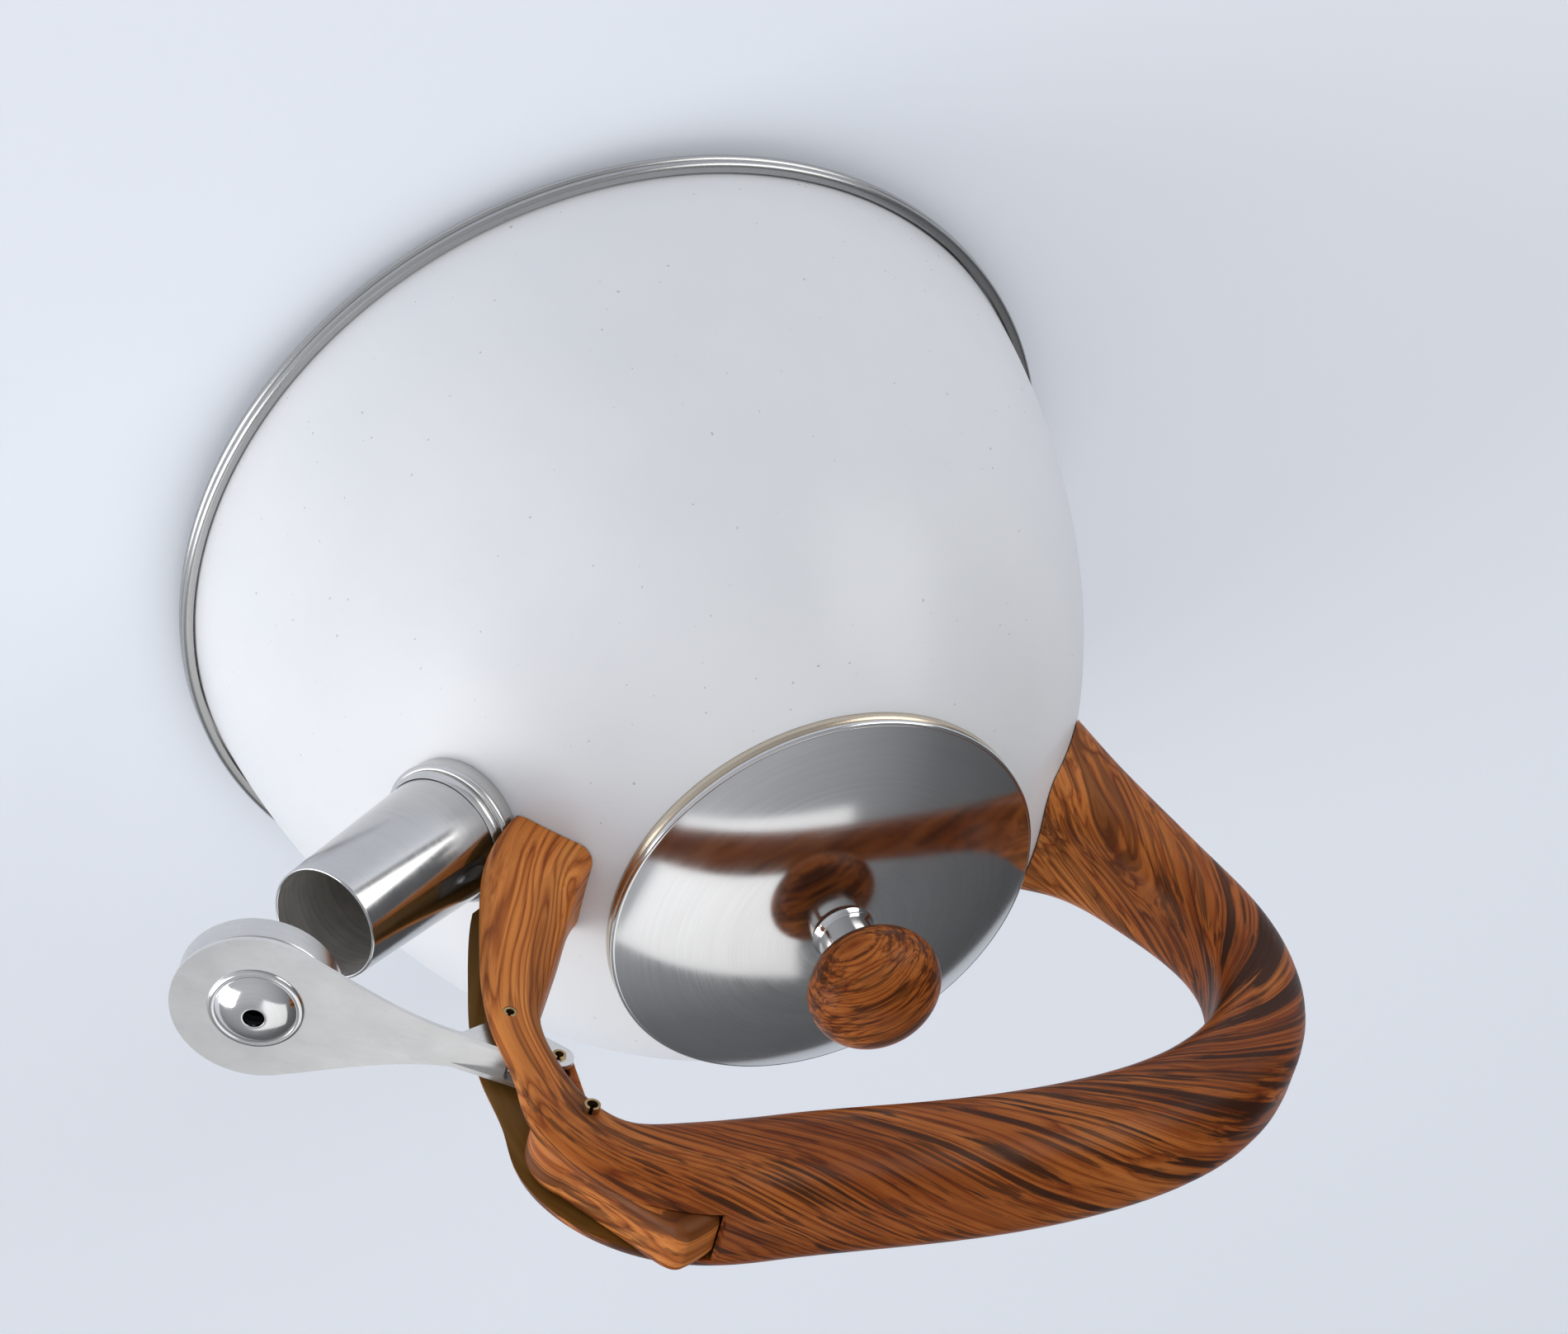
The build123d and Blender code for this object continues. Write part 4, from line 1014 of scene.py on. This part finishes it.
def grain_along_arch(points):
    """Distance along the arch and the twisted place in its section, for every point."""
    flat = points[:, [0, 2]]
    nearest = np.argmin(((flat[:, None, :] - slice_points[None, :, :]) ** 2).sum(axis=2), axis=1)
    headings = np.radians(slice_headings[nearest])
    offset = flat - slice_points[nearest]
    ahead = offset[:, 0] * np.cos(headings) + offset[:, 1] * np.sin(headings)
    left = offset[:, 1] * np.cos(headings) - offset[:, 0] * np.sin(headings)
    run = slice_marks[nearest] + ahead
    ease = np.clip((run - TWIST_FROM) / TWIST_EASE, 0, 1)
    turn = -TWIST_RATE * (ease * ease * TWIST_EASE / 2 + np.clip(run - TWIST_FROM - TWIST_EASE, 0, TWIST_RUN))
    across = points[:, 1]
    c, s = np.cos(turn), np.sin(turn)
    return np.stack([run, left * c + across * s, across * c - left * s], 1)


def make_handle():
    arch = handle_arch()
    tools = [body_block(HANDLE_GAP)] + channel_tools()
    collar_room = circle((0, 0), COLLAR_R + COLLAR_STEP + RUN, 72)
    tools.append(prism("tool", collar_room, spout_frame, -2 * COLLAR_R, 2 * COLLAR_R, 1))
    tools.append(pin_tool(pivot, LEVER_PIN_R + PIN_GRIP))
    tools.append(pin_tool(hub, TRIGGER_PIN_R + PIN_GRIP))
    rear_heading = REAR_FOOT_ANGLE - 180
    screw_at = turned(rear_foot, rear_heading, REAR_SCREW_AT)
    sink = square_frame(turned(screw_at, rear_heading + 90, REAR_HEAD_LEVEL), rear_heading + 90)
    tools.append(prism("tool", circle((0, 0), SCREW_HEAD_R + RUN), sink, 0, 4 * SCREW_HEAD_R, 1))
    arch.data.materials.append(HANDLE_WOOD)
    arch.data.materials.append(RAW)
    combined(arch, tools, "DIFFERENCE")
    set_attribute(arch, "grain", grain_along_arch(points_of(arch)))
    dress(arch, "kettle", "woodgrain", ["handle"], HANDLE_WOOD, RAW)


def make_roll_pin(name, node, body, point, radius, low, high):
    """Rolled sheet pin with its slit and chamfered ends, across the handle."""
    bore = radius - PIN_WALL
    slit = PIN_SLIT_ANGLE
    outline = ellipse((0, 0), bore, bore, slit, 360 - slit, 40)
    outline += ellipse((0, 0), radius, radius, 360 - slit, slit, 40)
    pin = prism(name, outline, side_frame(point, PIN_SLIT_TURN), -high, -low)
    bevelled(pin, PIN_CHAMFER, 2, 50.0)
    dress(pin, body, "pin_brass", [node], BRASS)


def crowned(name, outline, half):
    """Solid across the handle from an outline about the trigger pin, with its outer edges rounded off."""
    middle = Vector(hub)
    turns = [cos_sin(90 * k / CROWN_STEPS) for k in range(CROWN_STEPS + 1)]
    levels = [(half - CROWN * (1 - s), CROWN * (1 - c)) for c, s in turns]
    rings = []
    for level, fall in [(-level, fall) for level, fall in levels[::-1]] + levels:
        ring = []
        for point in outline:
            away = Vector(point) - middle
            x, z = middle + away * max(1 - fall / max(away.length, 1e-6), 0.5)
            ring.append(handle_plane @ Vector((x, z, level)))
        rings.append(ring)
    return skinned(name, rings)


def make_trigger():
    """Crowned thumb piece whose round end runs in under the grip's lip, with a nose for the link pin."""
    pad = sector(PAD_R, PAD_START_ANGLE, PAD_END_ANGLE, 24)[1:]
    slide = sector(TIP_R, TIP_ANGLE, tail_angle, 3)[1:]
    half = TRIGGER_W / 2
    trigger = crowned("trigger_print", softened(pad + slide + [hub], TRIGGER_CORNER_R, 7), half)
    reaches = (math.dist(hub, link), math.dist(hub, link_shut))
    nose = round_ended(0, reaches[0], NOSE_W / 2)
    slot = round_ended(min(reaches) - RUN, max(reaches) + RUN, LINK_PIN_R + SLOT_RUN)
    nose_frame = side_frame(hub, nose_heading)
    boss = prism("tool", circle(hub, HUB_R), handle_plane, HUB_INSET - half, half - HUB_INSET)
    combined(trigger, [boss, prism("tool", nose, nose_frame, -NOSE_T / 2, NOSE_T / 2)], "UNION")
    taken = [prism("tool", slot, nose_frame, -TRIGGER_W, TRIGGER_W), pin_tool(hub, TRIGGER_PIN_R + PIN_RUN)]
    combined(trigger, taken, "DIFFERENCE")
    bevelled(trigger, TRIGGER_EDGE)
    set_attribute(trigger, "grain", grain_round_pin(points_of(trigger)))
    dress(trigger, "trigger", "woodgrain", ["trigger"], TRIGGER_WOOD)


def grain_round_pin(points):
    """Distance round the trigger pin and the place across it, for every point."""
    x = points[:, 0] - hub[0]
    z = points[:, 2] - hub[1]
    reach = np.hypot(x, z)
    along = TRIGGER_GRAIN_R * np.arctan2(z, x)
    return np.stack([along, points[:, 1] + reach * 0.15, reach * 0.2], 1) + TRIGGER_GRAIN_AT


# Whistle


def hermite(p, p_lean, q, q_lean, steps=24):
    """Curve between two points with given directions."""
    p, q = Vector(p), Vector(q)
    size = (q - p).length
    p_lean, q_lean = Vector(p_lean) * size, Vector(q_lean) * size
    points = []
    for k in range(steps + 1):
        t = k / steps
        points.append(tuple(p * (2 * t ** 3 - 3 * t ** 2 + 1) + p_lean * (t ** 3 - 2 * t ** 2 + t)
                            + q * (3 * t ** 2 - 2 * t ** 3) + q_lean * (t ** 3 - t ** 2)))
    return points


def hull(points):
    """Convex outline round points."""
    ordered = sorted(set((round(x, 6), round(y, 6)) for x, y in points))
    halves = []
    for run in (ordered, ordered[::-1]):
        half = []
        for p in run:
            while len(half) > 1 and ((half[-1][0] - half[-2][0]) * (p[1] - half[-2][1])
                                     - (half[-1][1] - half[-2][1]) * (p[0] - half[-2][0])) <= 0:
                half.pop()
            half.append(p)
        halves.append(half[:-1])
    return halves[0] + halves[1]


def make_lever():
    """Pressed plate with a round head, a waisted strip and two folded ears."""
    half = STRIP_W / 2
    c, s = cos_sin(SHOULDER_ANGLE)
    flare = math.tan(math.radians(NECK_FLARE_ANGLE))
    shoulder = (head_reach + HEAD_R * c, HEAD_R * s)
    upper = hermite((STRIP_LENGTH, half), (1, flare), shoulder, (s, -c))
    head = ellipse((head_reach, 0), HEAD_R, HEAD_R, SHOULDER_ANGLE, -SHOULDER_ANGLE, 96)[1:-1]
    lower = [(x, -y) for x, y in upper[::-1]]
    outline = [(-STRIP_BACK, half)] + upper + head + lower + [(-STRIP_BACK, -half)]
    top = PLATE_LIFT + PLATE_T
    lean = side_frame(pivot, lever_heading)
    flat = lean @ Matrix.Rotation(math.radians(-90), 4, "X")
    plate = prism("lever_plate", outline, flat, PLATE_LIFT, top)
    points = circle((0, 0), EAR_R) + circle((-TAIL_BACK, TAIL_LIFT), EAR_R)
    points += [(-EAR_R, top), (STRIP_LENGTH, top)]
    ear = hull(points)
    ears = [prism("tool", ear, lean, -half, -half + EAR_T), prism("tool", ear, lean, half - EAR_T, half)]
    combined(plate, ears, "UNION")
    holes = [prism("tool", circle((head_reach, 0), WHISTLE_HOLE_R * 2), flat, 0, 2 * top),
             pin_tool(pivot, LEVER_PIN_R + PIN_RUN), pin_tool(link, LINK_PIN_R + PIN_GRIP)]
    combined(plate, holes, "DIFFERENCE")
    bevelled(plate, PLATE_EDGE, 2, 50.0)
    inverse = lean.inverted()
    set_attribute(plate, "grain", [tuple(inverse @ Vector(p)) for p in points_of(plate)])
    dress(plate, "whistle", "brushed_steel", ["whistle_lever"], PLATE)


def darken(piece, side, reach=0.0):
    """Painted shade: a near-black second finish on a head piece's faces that look one way along its axis, or
    lie within a reach of it.
    """
    axis = Vector(head_frame.col[2][:3])
    for face, _, radius in faces_about(piece, head_frame):
        face.material_index = int(side * face.normal.dot(axis) > 0.3 or radius < reach)


def make_cap():
    rim = -PIVOT_AHEAD - CAP_OVERLAP
    neck = CAP_R - 2 * CAP_GROOVE
    bore = WHISTLE_HOLE_R * 2
    bend = CAP_T * 0.3
    outline = [(bore, PLATE_LIFT), (neck, PLATE_LIFT), (neck, cap_roof), (cap_bore, cap_roof)]
    outline += arc((cap_bore, cap_roof), (CAP_R - bend, cap_roof - bend), (CAP_R, cap_ceiling), 6)[1:]
    outline += [(CAP_R, rim), (cap_bore, rim), (cap_bore, cap_ceiling), (bore, cap_ceiling)]
    cap = spin("whistle_cup", softened(outline, CAP_EDGE), head_frame, 128)
    # Painted shade: the cap's faces round its hole get the near-black finish.
    darken(cap, 0.0, bore + CAP_T)
    dress(cap, "whistle", "polished_steel", ["whistle_cap"], BRUSHED, PAINTED_SHADE_METAL)


def make_whistle_disc():
    face = -PIVOT_AHEAD + SEAT_GAP
    back = face + WHISTLE_DISC_T
    outer = cap_bore - FIT
    rest_r = SPOUT_MOUTH_R + SPOUT_WALL
    outline = [(WHISTLE_HOLE_R, face), (outer, face), (outer, cap_ceiling), (rest_r, cap_ceiling),
               (rest_r, back), (WHISTLE_HOLE_R, back)]
    disc = spin("whistle_inner", softened(outline, WHISTLE_DISC_EDGE), head_frame, 128)
    # Painted shade: the disc's faces that look along the head's axis get the near-black finish.
    darken(disc, 1.0)
    dress(disc, "whistle", "polished_steel", ["whistle_disc"], BRUSHED, PAINTED_SHADE_METAL)


def make_whistle_dome():
    low = PLATE_LIFT + PLATE_T
    top = low + DOME_H
    bead = DOME_FLANGE / 2
    shoulder_r = DOME_R * 0.66
    shoulder = low + DOME_H * 0.82
    foot = (DOME_R - DOME_T, low)
    inner_shoulder = (shoulder_r - DOME_T / 2, shoulder - DOME_T)
    outline = [foot]
    outline += arc((DOME_R + DOME_FLANGE, low), (DOME_R + bead, low + bead), (DOME_R, low + DOME_T))
    outline += arc((DOME_R, low + DOME_T), (shoulder_r, shoulder), (WHISTLE_HOLE_R, top), 20)[1:]
    outline += arc((WHISTLE_HOLE_R, top - DOME_T), inner_shoulder, foot, 20)[:-1]
    bell = spin("whistle_bell", softened(outline, DOME_EDGE), head_frame, 128)
    # Painted shade: the bell's faces that look against the head's axis get the near-black finish.
    darken(bell, -1.0)
    dress(bell, "whistle", "polished_steel", ["whistle_dome"], POLISHED, PAINTED_SHADE_METAL)


def make_spring():
    """Torsion spring on the lever pin: close turns and two straight legs."""
    turn = SPRING_OUT_ANGLE - SPRING_IN_ANGLE + 360 * SPRING_TURNS
    rise = SPRING_PITCH * turn / 360
    steps = 120
    place = side_frame(pivot, lever_heading)
    coil = []
    for k in range(steps + 1):
        c, s = cos_sin(SPRING_IN_ANGLE + turn * k / steps)
        coil.append(Vector((SPRING_R * c, SPRING_R * s, rise * (k / steps - 0.5))))
    first = (coil[0] - coil[1]).normalized()
    last = (coil[-1] - coil[-2]).normalized()
    line = [coil[0] + first * SPRING_LEG] + coil + [coil[-1] + last * SPRING_LEG]
    spring = tube("spring_wire", [place @ p for p in line], SPRING_WIRE_R)
    dress(spring, "whistle", "plain_steel", ["return_spring"], SPRING_STEEL)


# Lid


def make_lid():
    run = lid_r - LID_SEAT_R
    drop = LID_H - LID_T
    ball = (run ** 2 + drop ** 2) / (2 * drop)
    lean = math.asin(run / ball)
    half_run = ball * math.sin(lean / 2)
    half_drop = ball * (1 - math.cos(lean / 2))
    bore = KNOB_SCREW_R + PIN_RUN
    middle = LID_SEAT_R + half_run
    outline = [(bore, lid_seat)]
    outline += arc((LID_SEAT_R, lid_seat), (middle, lid_seat - half_drop), (lid_r, lid_seat - drop), 48)
    outline += arc((lid_r, lid_low + HEM_R * 0.9), (lid_r + HEM_R, lid_low), (lid_r, lid_low - HEM_R), 12)
    outline += [(lid_r - HEM_R * 0.9, lid_low - HEM_R * 0.3), (lid_r - 2 * HEM_R, lid_low)]
    outline += arc((lid_r - 2 * HEM_R, lid_low), (middle, lid_seat - half_drop - LID_T),
                   (LID_SEAT_R, lid_seat - LID_T), 48)[1:]
    outline += [(bore, lid_seat - LID_T)]
    lid = spin("lid_steel", outline, segments=224)
    dress(lid, "lid", "polished_steel", ["lid_dome"], POLISHED)


def make_skirt():
    low = lid_low - SKIRT_H
    inner = skirt_r - SKIRT_T
    flange = lid_r - HEM_R - FIT
    roll = skirt_r - SKIRT_ROLL
    outline = [(inner, lid_low), (flange, lid_low), (flange, lid_low - SKIRT_T), (skirt_r, lid_low - SKIRT_T)]
    outline += arc((skirt_r, low), (roll, low - SKIRT_ROLL), (roll - SKIRT_ROLL, low), 14)
    outline += [(roll - SKIRT_ROLL * 0.6, low + SKIRT_ROLL * 0.8), (inner, low + 1.6 * SKIRT_ROLL)]
    skirt = spin("lid_plug", softened(outline, SKIRT_EDGE), segments=192)
    for k in range(NUB_COUNT):
        c, s = cos_sin(NUB_ANGLE + 360 * k / NUB_COUNT)
        reach = skirt_r + NUB_OUT - NUB_R
        place = Matrix.Translation((reach * c, reach * s, lid_low - SKIRT_H / 2))
        nub = spin(f"lid_nub_{k}", ellipse((0, 0), NUB_R, NUB_R, -90, 90, 24), place, 48, closed=False)
        dress(nub, "lid", "polished_steel", [], BRUSHED)
    dress(skirt, "lid", "polished_steel", ["lid_skirt"], BRUSHED)


def make_neck():
    waist = NECK_H * 0.3
    bore = KNOB_SCREW_R + PIN_RUN
    curve_r = NECK_R + (NECK_FOOT_R - NECK_R) * 0.3
    outline = [(bore, knob_low), (bore, lid_seat)]
    outline += arc((NECK_FOOT_R, lid_seat), (curve_r, lid_seat + waist * 0.4), (NECK_R, lid_seat + waist), 10)
    outline += [(NECK_R, knob_low)]
    neck = spin("neck_steel", softened(outline, NECK_EDGE), segments=96)
    dress(neck, "lid", "polished_steel", ["knob_neck"], POLISHED)


def make_knob():
    foot = math.degrees(math.acos(KNOB_FLAT_R / KNOB_R))
    middle = knob_low + KNOB_HALF * math.sin(math.radians(foot))
    bore = KNOB_SCREW_R + PIN_GRIP
    bore_top = knob_low + KNOB_BORE
    outline = [(0, bore_top), (bore, bore_top), (bore, knob_low)]
    outline += ellipse((0, middle), KNOB_R, KNOB_HALF, -foot, 90, 72)[:-1] + [(0, middle + KNOB_HALF)]
    knob = spin("knob_print", outline, segments=128, closed=False)
    x, y, z = points_of(knob).T
    c, s = cos_sin(KNOB_GRAIN_ANGLE)
    along = x * c + y * s
    across = y * c - x * s
    grain = np.stack([along, across * 2.0 + along * 0.2, (z - middle) * 0.8], 1)
    set_attribute(knob, "grain", grain + KNOB_GRAIN_AT)
    dress(knob, "lid", "woodgrain", ["lid_knob"], KNOB_WOOD)


for make in (make_body, make_seam_ring, make_mouth_ring, make_base, make_spout, make_collar, make_handle,
             make_trigger, make_lever, make_cap, make_whistle_disc, make_whistle_dome, make_spring,
             make_lid, make_skirt, make_neck, make_knob):
    make()
link_half = STRIP_W / 2 + PIN_WALL
make_roll_pin("lever_roll_pin", "lever_pin", "kettle", pivot, LEVER_PIN_R, -LEVER_PIN_HALF, LEVER_PIN_HALF)
make_roll_pin("trigger_roll_pin", "trigger_pin", "kettle", hub, TRIGGER_PIN_R,
              -TRIGGER_PIN_HALF - PIN_STUB, TRIGGER_PIN_HALF)
make_roll_pin("link_roll_pin", "link_pin", "whistle", link, LINK_PIN_R, -link_half, link_half)

# CAD solids that keep their shape
KEPT = dict.fromkeys(("front_bracket", "front_bracket_screw", "rear_bracket", "rear_bracket_screw",
                      "knob_screw", "knob_washer"), ZINC)
KEPT["base_plate"] = BLACK
for node, finish in KEPT.items():
    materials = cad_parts[node].data.materials
    materials.clear()
    materials.append(finish)


# Stage: pale floor, soft lights and the photograph's camera
BRIGHT_SIDE = (0.76, -0.25, 0.60)
SKY_LEVELS = ((0.0, 0.06), (0.45, 0.18), (1.0, 0.66))
SKY_TINT = (0.96, 0.99, 1.05)
SKY_IN_VIEW = (0.62, 0.66, 0.73)
FLOOR_R = 1600.0
LIGHTS = (
    ("key", (1.45, 0.35, 0.45), (0.0, 0.0, 0.10), 0.9, 1.1, 12.0),
    ("fill", (-0.80, -1.15, 0.60), (0.0, 0.0, 0.12), 0.9, 0.9, 7.0),
    ("top", (0.00, 0.70, 1.50), (0.0, 0.0, 0.10), 1.3, 1.3, 4.5),
)
CAMERA_AT = (0.4711, -0.6687, 0.8653)
CAMERA_TURN = (-41.542, -21.576, -166.038)
CAMERA_LENS = 110.82


def make_floor():
    bm = bmesh.new()
    bmesh.ops.create_circle(bm, cap_ends=True, segments=128, radius=FLOOR_R)
    floor = add_piece("floor", bm)
    finish = Finish("floor_paint", Specular_IOR_Level=0.2)
    tone = finish.noise(finish.place(), 1.5, 2.0)
    finish.set(Base_Color=finish.ramp(tone, [(0.3, (0.85, 0.885, 0.95)), (0.7, (0.87, 0.905, 0.97))]))
    finish.set(Roughness=finish.spread(tone, 0.3, 0.7, 0.5, 0.6))
    path = finish.node("ShaderNodeLightPath")
    seen = finish.math("MAXIMUM", path.outputs["Is Camera Ray"], path.outputs["Is Glossy Ray"])
    finish.set(Emission_Strength=finish.math("MULTIPLY", seen, 0.10), Emission_Color=(0.93, 0.96, 1.0, 1.0))
    floor.data.materials.append(finish.material)


def add_light(name, at, aim, width, height, power):
    lamp = bpy.data.lights.new(name, "AREA")
    lamp.shape = "RECTANGLE"
    lamp.size = width
    lamp.size_y = height
    lamp.energy = power
    light = bpy.data.objects.new(name, lamp)
    light.location = at
    light.rotation_euler = (Vector(aim) - Vector(at)).to_track_quat("-Z", "Y").to_euler()
    bpy.context.scene.collection.objects.link(light)


def make_world():
    """Soft surroundings, bright on the spout's side and dim on the other, pale where the camera sees them."""
    world = bpy.data.worlds.new("studio")
    bpy.context.scene.world = world
    world.use_nodes = True
    sky = Nodes(world.node_tree)
    toward = sky.vector("DOT_PRODUCT", sky.node("ShaderNodeTexCoord").outputs["Generated"], BRIGHT_SIDE)
    stops = [(at, tuple(level * tint for tint in SKY_TINT)) for at, level in SKY_LEVELS]
    glow = sky.ramp(sky.spread(toward, -1.0, 1.0, 0.0, 1.0), stops)
    seen = sky.node("ShaderNodeLightPath").outputs["Is Camera Ray"]
    sky.feed(sky.tree.nodes["Background"].inputs["Color"], sky.mixed(seen, glow, SKY_IN_VIEW))


def make_camera():
    lens = bpy.data.cameras.new("photo_camera")
    lens.lens = CAMERA_LENS
    lens.sensor_width = 36.0
    lens.sensor_fit = "HORIZONTAL"
    lens.clip_start = 0.01
    camera = bpy.data.objects.new("photo_camera", lens)
    camera.location = CAMERA_AT
    camera.rotation_euler = [math.radians(a) for a in CAMERA_TURN]
    bpy.context.scene.collection.objects.link(camera)
    bpy.context.scene.camera = camera


make_floor()
make_world()
for light in LIGHTS:
    add_light(*light)
make_camera()
bpy.context.scene.view_settings.view_transform = "Standard"
